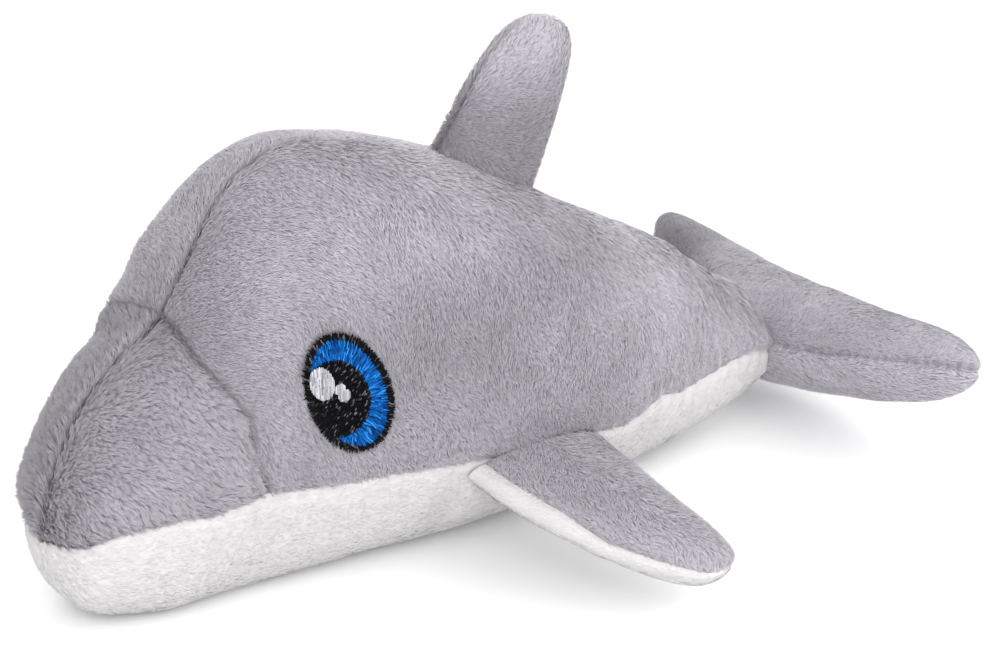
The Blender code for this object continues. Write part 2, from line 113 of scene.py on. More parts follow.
flipper = {
    "fromSnout": 119.5 * mm,
    "belowSeam": 2.2 * mm,
    "tuck": 12.7 * mm,
    "reach": 49 * mm,
    "drop": 13.7 * mm,
    "chord": 41 * mm,
    "thickness": 15 * mm,
    "outline": [
        (0.00, -0.60, 0.47, 0.80),
        (0.22, -0.44, 0.52, 0.88),
        (0.42, -0.22, 0.57, 0.96),
        (0.62, 0.02, 0.59, 1.00),
        (0.82, 0.22, 0.56, 0.68),
        (1.00, 0.39, 0.39, 0.00),
    ],
    # degrees: how far up the white comes at the root and at the tip, and the pile's turn from the
    # way to the tip, at the front and at the rear
    "whiteTo": (36, 17),
    "pileTurn": (-30, 55),
}

fluke = {
    "span": 121 * mm,
    "chord": flukeReach,
    "thickness": 28.5 * mm,
    "belowTail": 0.8 * mm,
    "lift": 9.5 * mm,
    "pitch": 3 * mm,
    "outline": [
        (0.00, 0.000, 0.970, 1.04, 0.00),
        (0.10, 0.080, 0.980, 1.03, 0.10),
        (0.22, 0.200, 0.992, 1.00, 0.28),
        (0.36, 0.330, 1.000, 0.94, 0.50),
        (0.54, 0.500, 1.000, 0.80, 0.72),
        (0.71, 0.635, 0.970, 0.56, 0.88),
        (1.00, 0.820, 0.820, 0.00, 1.00),
    ],
    # the right lobe hangs lower and further forward, fully so this many mm from the middle
    "sag": np.array([-2.0, -3.4, -2.2]) * mm,
    "sagOver": 55,
}

eye = {
    "fromSnout": 61.9 * mm,
    "height": 56.7 * mm,
    "long": 34.3 * mm,
    "short": 19.5 * mm,
    "tilt": np.radians(27),
    "line": 1.5 * mm,
    "pupilLong": 22.6 * mm,
    "pupilShort": 14.8 * mm,
    "pupilForward": 2.8 * mm,
    "threadWidth": 0.36 * mm,
    "threadHeight": 0.3 * mm,
    "lift": -0.5 * mm,
}


def behindSnout(points):
    return points[..., 1] - snoutY


def seamShares(count):
    # shares from 0 to 1 that lie closer together beside the seams
    share = np.linspace(0, 1, count)
    return share - 0.09 * np.sin(2 * np.pi * share)


def curveThrough(table):
    # a smooth curve through the rows of a table, whose first column says where each row is
    knots, rows = np.split(np.array(table), [1], axis=1)
    knots = knots[:, 0]
    slopes = np.gradient(rows, knots, axis=0)

    def at(place):
        place = np.asarray(place, float)
        span = np.clip(np.searchsorted(knots, place, side="right") - 1, 0, len(knots) - 2)
        width = (knots[span + 1] - knots[span])[..., None]
        part = (place - knots[span])[..., None] / width
        rest = 1 - part
        start = rest**2 * ((1 + 2 * part) * rows[span] + part * width * slopes[span])
        end = part**2 * ((1 + 2 * rest) * rows[span + 1] - rest * width * slopes[span + 1])
        return start + end

    return at


def smoothStep(value):
    value = np.clip(value, 0, 1)
    return value * value * (3 - 2 * value)


def ramp(value, start, end):
    # runs smoothly from 0 at start to 1 at end, both in mm and in either order
    return smoothStep((value - start * mm) / ((end - start) * mm))


def bump(value, middle, width):
    # 1 at the middle and next to nothing at twice the width, both in mm
    return np.exp(-(((value - middle * mm) / (width * mm)) ** 2))


def fading(distance, reach):
    # 1 at no distance, and a third at the reach in mm
    return np.exp(-distance / (reach * mm))


def signedPower(value, power):
    return np.sign(value) * np.abs(value) ** power


def unit(vectors):
    return vectors / (np.linalg.norm(vectors, axis=-1, keepdims=True) + 1e-12)


bodyCurve = curveThrough([(np.sqrt(row[0]), *row[1:]) for row in body["outline"]])
beakRing = np.sqrt(body["beakTop"] / bodyLength)
leanRings = np.sqrt((body["beakTop"] + body["beakLean"]) / bodyLength) - beakRing


def bodySection(ring):
    top, bottom, seam, halfWidth = np.moveaxis(bodyCurve(ring), -1, 0)
    top = top * body["crownHeight"]
    bottom = bottom * body["crownHeight"] - body["floorFlat"] * smoothStep(ring / body["flatFrom"])
    widest = bottom + body["widestShare"] * (top - bottom)
    return top, bottom, seam * body["crownHeight"], halfWidth * body["width"] / 2, widest


def bodySurface(ring, angle):
    top, bottom, seam, halfWidth, widest = bodySection(ring)
    sine = np.sin(angle)
    power = np.where(sine > 0, 2 / body["upperRoundness"], 2 / body["lowerRoundness"])
    height = np.where(sine > 0, top - widest, widest - bottom)
    x = halfWidth * signedPower(np.cos(angle), power)
    y = snoutY + bodyLength * ring**2
    z = widest + height * signedPower(sine, power)
    return np.stack(np.broadcast_arrays(x, y, np.maximum(z, 0)), -1)


def leaningRing(ring, angle):
    down = np.arcsin(np.clip(np.sin(angle), -1, 1))
    lean = np.clip((body["leanStart"] - down) / body["leanSpan"], 0, 1) ** body["leanPower"]
    before = smoothStep(ring / beakRing)
    after = 1 - smoothStep((ring - beakRing) / body["leanFade"])
    return ring + leanRings * lean * np.where(ring < beakRing, before, after)


def bellySeamAngle(ring, side):
    leaned = leaningRing(ring, body["leanStart"] - body["leanSpan"])
    top, bottom, seam, halfWidth, widest = bodySection(leaned)
    waves = body["seamWaves"] if side == "Left" else [body["rightSeamDrop"]]
    for place, width, rise in waves:
        seam = seam + rise * mm * bump(bodyLength * leaned**2, place, width)
    drop = np.clip((widest - seam) / (widest - bottom), 0.02, 0.98)
    return -np.arcsin(drop ** (body["lowerRoundness"] / 2))


def insideBody(points, margin):
    # which points lie inside the body grown by the margin
    back = np.clip(behindSnout(points), 1e-6, bodyLength)
    top, bottom, seam, halfWidth, widest = bodySection(np.sqrt(back / bodyLength))
    up = points[..., 2] > widest
    tall = np.where(up, top - widest, widest - bottom) + margin
    power = np.where(up, body["upperRoundness"], body["lowerRoundness"])
    across = np.abs(points[..., 0]) / (halfWidth + margin)
    return across**power + (np.abs(points[..., 2] - widest) / tall) ** power < 1


def sidePoint(back, height, lift):
    # point on the left side of the body at a distance from the snout and a height
    ring = np.sqrt(back / bodyLength)
    top, bottom, seam, halfWidth, widest = bodySection(ring)
    upper = height > widest
    share = np.where(upper, (height - widest) / (top - widest), (widest - height) / (widest - bottom))
    power = np.where(upper, body["upperRoundness"], body["lowerRoundness"])
    angle = np.arcsin(np.clip(share, 0, 0.999) ** (power / 2)) * np.where(upper, 1, -1)
    step = 1e-4
    along = bodySurface(ring + step, angle) - bodySurface(ring - step, angle)
    around = bodySurface(ring, angle + step) - bodySurface(ring, angle - step)
    normal = unit(np.cross(around, along))
    normal = normal * np.sign(normal[..., :1])
    return bodySurface(ring, angle) + np.asarray(lift)[..., None] * normal


def aroundFin(front, back, halfThickness, normal, angle):
    # points on the ovals around a fin, at an angle from its front edge
    forward = np.cos(angle)[..., None] * (front - back) / 2
    return (front + back) / 2 + forward + np.sin(angle)[..., None] * halfThickness * normal


def roundTip(place):
    return 1 - (1 - place) ** 2


def shares(curve, place):
    return np.moveaxis(curve(place), -1, 0)[..., None]


finCurve = curveThrough(fin["outline"])
finFoot = bodySection(np.sqrt(fin["fromSnout"] / bodyLength))[0]
flipperCurve = curveThrough(flipper["outline"])
flukeCurve = curveThrough([(-row[0], *row[1:]) for row in fluke["outline"][:0:-1]] + fluke["outline"])


def leanedFin(place, angle):
    up = np.array([0, np.sin(fin["rake"]), np.cos(fin["rake"])])
    forward = np.array([0, -up[2], up[1]])
    chord, thickness, bow = shares(finCurve, place)
    rise = (fin["tuck"] + fin["rise"]) * roundTip(place)[..., None] - fin["tuck"]
    foot = np.array([0, snoutY + fin["fromSnout"], finFoot])
    spine = foot + rise * up + bow * fin["chord"] * forward
    half = chord * fin["chord"] / 2 * forward
    sideways = np.array([1.0, 0, 0])
    grid = aroundFin(spine + half, spine - half, thickness * fin["thickness"] / 2, sideways, angle)
    # the tip leans back, and the rear edge is hollow
    share = np.clip((grid[..., 2] - finFoot) / (fin["rise"] * np.cos(fin["rake"])), 0, 1)
    rear = (1 - np.cos(angle)) / 2
    frontShift = fin["frontShift"][0] * share + fin["frontShift"][1]
    rearShift = fin["rearShift"][0] * share**3 + fin["rearShift"][1]
    shift = frontShift * (1 - rear) + rearShift * rear
    return grid + np.stack([0 * share, shift, fin["tipDrop"] * share], -1) * mm


def flipperSurface(place, angle):
    seam = bodySection(np.sqrt(flipper["fromSnout"] / bodyLength))[2]
    foot = sidePoint(np.array(flipper["fromSnout"]), seam - flipper["belowSeam"], 0)
    out = unit(np.array([flipper["reach"], 0, -flipper["drop"]]))
    back = np.array([0, flipper["chord"], 0])
    length = flipper["tuck"] + np.hypot(flipper["reach"], flipper["drop"])
    front, rear, thickness = shares(flipperCurve, place)
    spine = foot + (length * roundTip(place)[..., None] - flipper["tuck"]) * out
    half = thickness * flipper["thickness"] / 2
    across = np.array([-out[2], 0, out[0]])
    return aroundFin(spine + front * back, spine + rear * back, half, across, angle)


def settledFlukes(place, angle):
    top, bottom = bodySection(np.sqrt(body["tailSeam"] / bodyLength))[:2]
    middle = (top + bottom) / 2 - fluke["belowTail"]
    front, rear, thickness, rise = shares(flukeCurve, place)
    x = np.sign(place) * roundTip(np.abs(place)) * fluke["span"] / 2
    z = middle + rise[..., 0] * fluke["lift"]
    spine = np.stack([x, 0 * x + snoutY + body["tailSeam"], z], -1)
    back = np.array([0, fluke["chord"], 0])
    tilt = thickness * fluke["pitch"] * upward
    half = thickness * fluke["thickness"] / 2
    grid = aroundFin(spine + front * back + tilt, spine + rear * back - tilt, half, upward, angle)
    return grid + ramp(grid[..., :1], 0, -fluke["sagOver"]) * fluke["sag"]


# noise, the same on every run


def hashed(cell, seed):
    # large odd factors mix the numbers of a cell into a value from -1 to 1
    number = cell[..., 0] * 374761393 + cell[..., 1] * 668265263 + cell[..., 2] * 2147483647
    number = (number + seed * 1274126177) & 0xFFFFFFFF
    number = ((number ^ (number >> 13)) * 1103515245) & 0xFFFFFFFF
    number = ((number ^ (number >> 16)) * 2246822519) & 0xFFFFFFFF
    return ((number ^ (number >> 15)) & 0xFFFF) / 32767.5 - 1


def noise(points, size, seed):
    # smooth noise from -1 to 1 whose lumps are about size wide, in mm
    scaled = points / (size * mm) + 1000
    cell = np.floor(scaled).astype(np.int64)
    part = scaled - cell
    part = part * part * (3 - 2 * part)
    total = 0
    for corner in np.ndindex(2, 2, 2):
        corner = np.array(corner)
        weight = np.prod(np.where(corner == 1, part, 1 - part), axis=-1)
        total = total + weight * hashed(cell + corner, seed)
    return total


def noises(points, layers, seed):
    # the sum of noises that are given as their size in mm and their strength
    total = 0
    for number, (size, strength) in enumerate(layers):
        total = total + strength * noise(points, size, seed + number)
    return total


# colours and materials

# each root colour is painted shade toward the foot of the locks, between them
plushColours = {
    "grey": {"dark": "#8b888e", "middle": "#adaab1", "light": "#ccc9d0", "root": "#cdcbd0"},
    "white": {"dark": "#cfcece", "middle": "#d3d2d2", "light": "#dbdada", "root": "#f4f3f3"},
}
# the lightest stops of the black and the blue thread are painted glints, given to a few stitches
threadColours = {
    "Black": [(0.0, "#010102"), (0.7, "#060608"), (0.88, "#1a1a1d"), (1.0, "#77777e")],
    "Blue": [(0.0, "#00224a"), (0.3, "#00478f"), (0.8, "#0068bc"), (1.0, "#349ae8")],
    "LightGrey": [(0.0, "#7c7b82"), (0.4, "#a3a2a9"), (1.0, "#cccbd1")],
}
fibreColours = [(0.3, "#dedcd8"), (0.7, "#fbfaf7")]
fibreLumps = {"scale": 250.0, "strength": 0.6, "height": 1.5 * mm}


def linear(text):
    values = [int(text[i : i + 2], 16) / 255 for i in (1, 3, 5)]
    return [v / 12.92 if v <= 0.04045 else ((v + 0.055) / 1.055) ** 2.4 for v in values] + [1.0]


def setInputs(node, inputs):
    for name, value in inputs.items():
        node.inputs[name].default_value = value


def addNode(tree, kind, settings=None, inputs=None, links=None):
    node = tree.nodes.new(kind)
    for name, value in (settings or {}).items():
        setattr(node, name, value)
    setInputs(node, inputs or {})
    for name, source in (links or {}).items():
        tree.links.new(source, node.inputs[name])
    return node


def newMaterial(name, inputs):
    made = bpy.data.materials.new(name)
    made.use_nodes = True
    shader = made.node_tree.nodes["Principled BSDF"]
    setInputs(shader, inputs)
    return made, made.node_tree, shader


def setStops(ramp, stops):
    elements = ramp.color_ramp.elements
    while len(elements) < len(stops):
        elements.new(0.5)
    for element, (place, colour) in zip(elements, stops):
        element.position = place
        element.color = linear(colour)


def toneColour(tree, stops):
    # the colour of a face's tone, which its UV map keeps in x, and the map's y from root to tip
    place = addNode(tree, "ShaderNodeUVMap", {"uv_map": "OFBake"})
    split = addNode(tree, "ShaderNodeSeparateXYZ", links={"Vector": place.outputs["UV"]})
    tone = addNode(tree, "ShaderNodeValToRGB", links={"Fac": split.outputs["X"]})
    setStops(tone, stops)
    return tone.outputs["Color"], split.outputs["Y"]


def plushMaterial(name, colours, sheen):
    # Polyester plush, knitted backing with a brushed cut pile. It is a matt colour with painted shade
    # toward the roots of the locks, so it is darker between the locks and a little lighter on their
    # tips, and it has a faint sheen at the edges.
    surface = {"Roughness": 0.85, "IOR": 1.5, "Specular IOR Level": 0.25}
    made, tree, shader = newMaterial(name, {**surface, "Sheen Weight": sheen, "Sheen Roughness": 0.5})
    stops = [(0.0, colours["dark"]), (0.5, colours["middle"]), (1.0, colours["light"])]
    tone, rootToTip = toneColour(tree, stops)
    paintedRootShade = addNode(tree, "ShaderNodeValToRGB", links={"Fac": rootToTip})
    setStops(paintedRootShade, [(0.0, colours["root"]), (0.5, "#ffffff")])
    mixed = addNode(
        tree,
        "ShaderNodeMix",
        {"data_type": "RGBA", "blend_type": "MULTIPLY"},
        {"Factor": 1.0},
        {"A": tone, "B": paintedRootShade.outputs["Color"]},
    )
    tree.links.new(mixed.outputs["Result"], shader.inputs["Base Color"])
    return made


def threadMaterial(colour, roughness, shine):
    # Polyester embroidery thread, satin stitched. It is glossy, and a few of its stitches are given a
    # much lighter tone, a painted glint where a thread would lie square to the light.
    surface = {"Roughness": roughness, "IOR": 1.55, "Specular IOR Level": shine}
    made, tree, shader = newMaterial(f"embroideryThread{colour}", surface)
    tree.links.new(toneColour(tree, threadColours[colour])[0], shader.inputs["Base Color"])
    return made


def fibreMaterial(name):
    # Polyester fibre filling: white, fluffy, hidden inside the panels.
    made, tree, shader = newMaterial(name, {"Roughness": 1.0})
    place = addNode(tree, "ShaderNodeTexCoord")
    size = {"Scale": fibreLumps["scale"], "Detail": 3.0}
    lumps = addNode(tree, "ShaderNodeTexNoise", inputs=size, links={"Vector": place.outputs["Object"]})
    tone = addNode(tree, "ShaderNodeValToRGB", links={"Fac": lumps.outputs["Fac"]})
    setStops(tone, fibreColours)
    tree.links.new(tone.outputs["Color"], shader.inputs["Base Color"])
    depth = {"Strength": fibreLumps["strength"], "Distance": fibreLumps["height"]}
    relief = addNode(tree, "ShaderNodeBump", inputs=depth, links={"Height": lumps.outputs["Fac"]})
    tree.links.new(relief.outputs["Normal"], shader.inputs["Normal"])
    return made


greyPlush = plushMaterial("polyesterMinkyGrey", plushColours["grey"], 0.2)
whitePlush = plushMaterial("polyesterVelboaWhite", plushColours["white"], 0.1)
blackThread = threadMaterial("Black", 0.4, 0.06)
blueThread = threadMaterial("Blue", 0.4, 0.08)
lightThread = threadMaterial("LightGrey", 0.5, 0.2)
fibre = fibreMaterial("polyesterFibrefill")
print("materials ready")


# meshes


def addObject(name, data):
    made = bpy.data.objects.new(name, data)
    bpy.context.scene.collection.objects.link(made)
    return made


def makeObject(name, vertices, faces, uvs, materialUsed, normals=None):
    # faces is a list of arrays, each with rows of 3 or 4 vertex numbers, and uvs matches it
    mesh = bpy.data.meshes.new(name)
    vertices = np.asarray(vertices, np.float32)
    mesh.vertices.add(len(vertices))
    mesh.vertices.foreach_set("co", vertices.ravel())
    corners = np.concatenate([block.ravel() for block in faces]).astype(np.int32)
    sizes = np.concatenate([np.full(len(block), block.shape[1]) for block in faces])
    starts = np.concatenate([[0], np.cumsum(sizes)[:-1]]).astype(np.int32)
    mesh.loops.add(len(corners))
    mesh.loops.foreach_set("vertex_index", corners)
    mesh.polygons.add(len(sizes))
    mesh.polygons.foreach_set("loop_start", starts)
    mesh.polygons.foreach_set("use_smooth", np.ones(len(sizes), bool))
    layer = mesh.uv_layers.new(name="OFBake")
    corners = np.concatenate([block.reshape(-1, 2) for block in uvs])
    layer.data.foreach_set("uv", corners.astype(np.float32).ravel())
    mesh.update(calc_edges=True)
    mesh.validate()
    if normals is not None:
        mesh.normals_split_custom_set_from_vertices(normals)
    mesh.materials.append(materialUsed)
    return addObject(name, mesh)


def place(piece, node, slotName, fill=None):
    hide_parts(node)
    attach(piece, "root")


def quadsOf(number):
    # four vertex numbers for each cell of one or more grids of vertex numbers
    cells = [number[..., :-1, :-1], number[..., :-1, 1:], number[..., 1:, 1:], number[..., 1:, :-1]]
    return np.stack(cells, -1).reshape(-1, 4)


def gridQuads(rows, columns, closed=False):
    number = np.arange(rows * columns).reshape(rows, columns)
    if closed:
        number = np.concatenate([number, number[:, :1]], axis=1)
    return quadsOf(number)


def gridOf(rows, columns):
    return np.meshgrid(rows, columns, indexing="ij")


def gridNormals(grid, outside):
    # unit normals of a grid of points, on the side where outside points to
    normal = unit(np.cross(np.gradient(grid, axis=0), np.gradient(grid, axis=1)))
    turn = np.sign(np.sum(normal * outside, -1, keepdims=True))
    return normal * np.sign(np.median(turn))


def distances(grid, axis):
    # distance in metres along each line of the grid, from its first and to its last point
    step = np.linalg.norm(np.diff(grid, axis=axis), axis=-1)
    start = np.concatenate([np.zeros_like(np.take(step, [0], axis)), np.cumsum(step, axis)], axis)
    return start, np.take(start, [-1], axis) - start


def toneUv(tones, corners):
    # a face has one tone, kept as its place in x, and runs in y from its root to its tip
    return corners + tones[:, None, None] * np.array([1, 0])


# length, width, height of the roots and size of a clump in mm, rise in degrees, the share by which
# tips draw together, and the share of its light that a lock takes from the cloth under it
pile = {
    "grey": dict(length=1.7, width=0.18, rise=15, lift=0.75, clump=0.8, draw=0.3, soft=0.88),
    "ruffled": dict(length=2.2, width=0.19, rise=21, lift=0.7, clump=1.1, draw=0.5, soft=0.88),
    "white": dict(length=1.1, width=0.2, rise=6, lift=0.12, clump=1.6, draw=0.0, soft=0.97),
}
# how unlike each other the locks are; a pair is the size of a patch in mm and its strength
brush = dict(
    turn=[(12, 0.6), (3.5, 0.5)],
    turnEach=0.26,
    rise=[(4, 4)],
    riseEach=4,
    length=[(2.5, 0.15)],
    lengthEach=0.12,
    widthFrom=0.35,
    widthTo=0.65,
    lean=0.3,
    light=0.03,
    tone=[(9, 0.09), (2.2, 0.06)],
    toneClump=0.045,
    toneEach=0.04,
)
# towards the tail the pile is brushed flatter, its locks hang together less and differ less
sleekness = dict(along=(95, 155), rise=0.5, lift=0.4, draw=0.6, tone=0.5)
density = dict(side=14.0, belly=5.2, fin=15.0, flukeTop=14.0, underside=8.0)
cloth = dict(fill=0.85, mostLocks=160000, turnedIn=1.2 * mm, offFloor=0.2 * mm, pileOffFloor=0.1 * mm)
mirrored = np.array([-1, 1, 1])


def pileOn(grid, normals, comb, keep, count, style, seed, paintedLight, swirl, avoid, dark):
    # scatters count locks of pile over a grid: their corners, their normals and their tones
    random = np.random.default_rng(seed)
    a, b, c, d = grid[:-1, :-1], grid[:-1, 1:], grid[1:, 1:], grid[1:, :-1]
    area = np.linalg.norm(np.cross(c - a, d - b), axis=-1) / 2
    chance = (area * keep[:-1, :-1]).ravel()
    quad = random.choice(len(chance), size=count, p=chance / chance.sum())
    row, column = np.divmod(quad, grid.shape[1] - 1)
    u, v = random.random((2, count))

    def sample(values):
        top = values[row, column] * (1 - v)[:, None] + values[row, column + 1] * v[:, None]
        low = values[row + 1, column] * (1 - v)[:, None] + values[row + 1, column + 1] * v[:, None]
        return top * (1 - u)[:, None] + low * u[:, None]

    root = sample(grid)
    normal = unit(sample(normals))
    way = sample(comb)
    way = unit(way - np.sum(way * normal, -1, keepdims=True) * normal)
    side = np.cross(normal, way)
    turn = swirl * noises(root, brush["turn"], seed) + random.normal(0, brush["turnEach"], count)
    way = way * np.cos(turn)[:, None] + side * np.sin(turn)[:, None]
    sleek = ramp(behindSnout(root), *sleekness["along"])
    rise = noises(root, brush["rise"], seed + 2) + random.normal(0, brush["riseEach"], count)
    rise = np.radians(style["rise"] + rise) * (1 - sleekness["rise"] * sleek)
    uneven = 1 + noises(root, brush["length"], seed + 3) + random.normal(0, brush["lengthEach"], count)
    length = style["length"] * mm * uneven
    lift = style["lift"] * mm * (1 - sleekness["lift"] * sleek) * random.random(count) ** 1.5
    root = root + normal * lift[:, None]
    tip = root + length[:, None] * (way * np.cos(rise)[:, None] + normal * np.sin(rise)[:, None])

    # the tips of each clump draw together towards one lock
    leaders = random.permutation(count)[: max(8, int(area.sum() / (style["clump"] * mm) ** 2))]
    tree = KDTree(len(leaders))
    for number, leader in enumerate(leaders):
        tree.insert(root[leader], number)
    tree.balance()
    nearest = np.array([tree.find(point)[1] for point in root])
    draw = style["draw"] * (1 - sleekness["draw"] * sleek)
    tip = tip + draw[:, None] * (tip[leaders[nearest]] - tip)
    if avoid is not None:
        # locks that would reach where none may are cut short
        tip = np.where(avoid(tip)[:, None], root + 0.3 * (tip - root), tip)

    along = unit(tip - root)
    across = unit(np.cross(along, normal))
    lean = random.normal(0, brush["lean"], count)
    across = across * np.cos(lean)[:, None] + np.cross(along, across) * np.sin(lean)[:, None]
    half = (style["width"] * mm * random.uniform(brush["widthFrom"], brush["widthTo"], count))[:, None]
    corners = np.stack([root - half * across, root + half * across, tip], 1)
    corners[..., 2] = np.maximum(corners[..., 2], cloth["pileOffFloor"])
    # pile is soft to the light: each lock is shaded mostly like the cloth under it
    shaded = style["soft"] * normal + (1 - style["soft"]) * np.cross(across, along)
    shaded = unit(shaded + random.normal(0, brush["light"], (count, 3)))
    clumpTone = brush["toneClump"] * random.normal(0, 1, len(leaders))[nearest]
    unlike = clumpTone + random.normal(0, brush["toneEach"], count)
    tone = 0.5 + noises(root, brush["tone"], seed + 4) + unlike * (1 - sleekness["tone"] * sleek)
    # by place, painted light and shade are added to the tone, and painted shade along the seams is taken
    # from it
    if paintedLight is not None:
        tone = tone + paintedLight(root)
    if dark is not None:
        tone = tone - sample(dark[..., None])[:, 0]
    return corners, np.repeat(shaded[:, None], 3, axis=1), np.clip(tone, 0.03, 0.97)


def formed(grid, outside, height):
    # the grid pushed out along its normals by height, and never below the floor
    pushed = grid + gridNormals(grid, outside) * height[..., None]
    pushed[..., 2] = np.maximum(pushed[..., 2], cloth["offFloor"])
    return pushed


def plushPanel(name, node, grid, outside, comb, keep, style, density, seed, mirror=False,
               paintedLight=None, swirl=1.0, avoid=None, dark=None):
    # a panel of plush: its backing, turned in at the seams, with locks of pile per square mm on it
    normals = gridNormals(grid, outside)
    diagonals = np.cross(grid[1:, 1:] - grid[:-1, :-1], grid[1:, :-1] - grid[:-1, 1:])
    covered = (np.linalg.norm(diagonals, axis=-1) / 2 * keep[:-1, :-1]).sum()
    count = int(min(covered / mm**2 * density, cloth["mostLocks"]))
    locks, lockNormals, tone = pileOn(
        grid, normals, comb, keep, count, pile[style], seed, paintedLight, swirl, avoid, dark
    )

    backing = np.pad(grid, ((1, 1), (1, 1), (0, 0)), mode="edge")
    outward = np.pad(normals, ((1, 1), (1, 1), (0, 0)), mode="edge")
    edge = np.ones(backing.shape[:2], bool)
    edge[1:-1, 1:-1] = False
    backing[edge] -= outward[edge] * cloth["turnedIn"]
    backing[..., 2] = np.maximum(backing[..., 2], cloth["pileOffFloor"])
    quads = gridQuads(*backing.shape[:2])
    base = backing.reshape(-1, 3)
    way = np.cross(np.gradient(grid, axis=1), np.gradient(grid, axis=0))
    if np.median(np.sum(way * normals, -1)) < 0:
        quads = quads[:, ::-1]
    # the backing lies low in the root-to-tip ramp, so it takes the painted shade of the locks' roots
    skinTone = 0.5 + 0.15 * noise(base[quads[:, 0]], 2, seed + 6)
    skinUv = toneUv(skinTone, np.array([(-0.004, 0.02), (0.004, 0.02), (0.004, 0.06), (-0.004, 0.06)]))
    lockUv = toneUv(tone, np.array([(-0.006, 0.02), (0.006, 0.02), (0.0, 0.98)]))
    vertices = np.concatenate([base, locks.reshape(-1, 3)])
    shading = np.concatenate([outward.reshape(-1, 3), lockNormals.reshape(-1, 3)])
    triangles = np.arange(count * 3).reshape(-1, 3) + len(base)
    if mirror:
        vertices, shading = vertices * mirrored, shading * mirrored
        quads, triangles, lockUv = quads[:, ::-1], triangles[:, ::-1], lockUv[:, ::-1]
    colour, slotName = (whitePlush, "white_plush") if style == "white" else (greyPlush, "grey_plush")
    made = makeObject(name, vertices, [quads, triangles], [skinUv, lockUv], colour, shading)
    place(made, node, slotName, cloth["fill"])
    print(name, count, "locks,", len(quads) * 2 + count, "triangles")


# body

# numbers of grid lines: along the beak, the rest of the body and each fin, and around each panel
cells = dict(beak=52, rest=184, side=92, belly=71, fin=44, dorsal=60, flipper=64, flukes=150)
# heights and depths in mm; profiles as widths in mm with shares of the depth
relief = dict(
    midlineHead=1.2,
    midlineRear=0.05,
    midlineProfile=[(1.0, 1), (5, 0.12)],
    beakSeam=1.0,
    beakProfile=[(1.0, 1), (4, 0.2)],
    bellySeam=0.8,
    bellyProfile=[(1.3, 1)],
    secondCrease=0.5,
    fold=0.4,
    foldLength=7.5,
    sidePucker=0.25,
    bellyPucker=0.3,
    puckerLength=5.5,
    tailFull=1.2,
    backDip=1.3,
    flipperFold=1.0,
    sideLumps=[(19, 0.45), (6, 0.12)],
    bellyLumps=[(22, 0.35), (7, 0.1)],
    sideInset=1.0,
    bellyInset=0.7,
    underEye=0.6,
)
# how the right side of the head differs from the left one, in mm
rightSide = dict(seamFull=1.6, cheekFull=1.2, beakFlat=1.1, snoutFull=2.4)
# painted light and shade in zones of the pile, and painted shade along the seams, where the pile is also
# pressed
paintedSideTones = dict(crown=0.15, rear=0.18, nape=0.2, rump=0.2, cheek=0.28, farBeak=0.32)
paintedSeamTones = dict(beak=0.5, midline=0.6, secondCrease=0.25, fin=0.25)
# the hollow between body and flukes: its size, and how far ahead of the tail seam it may start
meeting = dict(size=24 * mm, ahead=35 * mm)


def groove(distance, profile):
    # the cross section of a seam's hollow, 1 where it is deepest
    return sum(share * bump(distance, 0, width) for width, share in profile)


def puckers(grid, toSeam, reach, least, start, end):
    # small waves that run out from the belly seam, deeper to the tail
    back = behindSnout(grid)
    depth = fading(toSeam, reach) * (least + (1 - least) * ramp(back, start, end))
    phase = back / (relief["puckerLength"] * mm)
    return depth * np.sin(2 * np.pi * phase + 2 * noise(grid, 9, 5))


def secondCrease(grid, toBelly, fromBeak):
    # a fine fold beside the lower end of the beak seam
    onBeak = behindSnout(grid) < body["beakTop"] + body["beakLean"]
    return ramp(toBelly, 24, 14) * onBeak * bump(fromBeak, 3.4 - 0.05 * toBelly / mm, 0.7)


def bodyRelief(grid, fromTop, toBelly, fromBeak):
    # how far the plush stands above or below its smooth shape, in millimetres
    back, z = behindSnout(grid), grid[..., 2]
    onHead = ramp(back, 80, 45)
    midline = relief["midlineRear"] + (relief["midlineHead"] - relief["midlineRear"]) * onHead
    height = -midline * ramp(fromTop + toBelly, 0, 30) * groove(fromTop, relief["midlineProfile"])
    height -= relief["bellySeam"] * groove(toBelly, relief["bellyProfile"])
    height -= relief["beakSeam"] * groove(fromBeak, relief["beakProfile"])
    height -= relief["secondCrease"] * secondCrease(grid, toBelly, fromBeak)
    # soft folds across the rear flank, where the body tapers to the flukes
    folded = ramp(back, 140, 165) * ramp(back, 216, 208) * ramp(z, 78, 53) * ramp(toBelly, 0, 3)
    phase = (back + 0.3 * z) / (relief["foldLength"] * mm) + 0.6 * noise(grid, 15, 3)
    height += relief["fold"] * folded * (np.sin(2 * np.pi * phase) + 0.4 * noise(grid, 5, 4))
    height += relief["sidePucker"] * puckers(grid, toBelly, 5, 0.3, 100, 140)
    # the end of the body is pushed up by the filling, level with the flukes
    height += relief["tailFull"] * ramp(back, 190, 212) * ramp(z, 20, 30)
    # the back dips between the fin and the flukes
    height -= relief["backDip"] * bump(back, 168, 22) * ramp(z, 38, 52)
    return height + noises(grid, relief["sideLumps"], 6)


def rightRelief(grid, fromTop, toBelly, fromBeak, beforeCut):
    # the right side is fuller across the beak seam and beside the snout, and flatter on the beak
    beyond = ramp(fromTop, 6, 14)
    onBeak = ramp(fromBeak, 0, 8) * beforeCut
    height = rightSide["seamFull"] * bump(fromBeak, 0, 6) * beyond
    height += rightSide["cheekFull"] * bump(fromBeak, 15, 7) * beyond * (1 - onBeak)
    height -= rightSide["beakFlat"] * bump(fromTop, 16, 10) * onBeak
    away = ramp(toBelly, 0, 6) * ramp(fromTop, 0, 8) * ramp(grid[..., 2], 40, 24)
    return height + rightSide["snoutFull"] * bump(behindSnout(grid), 7, 9) * away


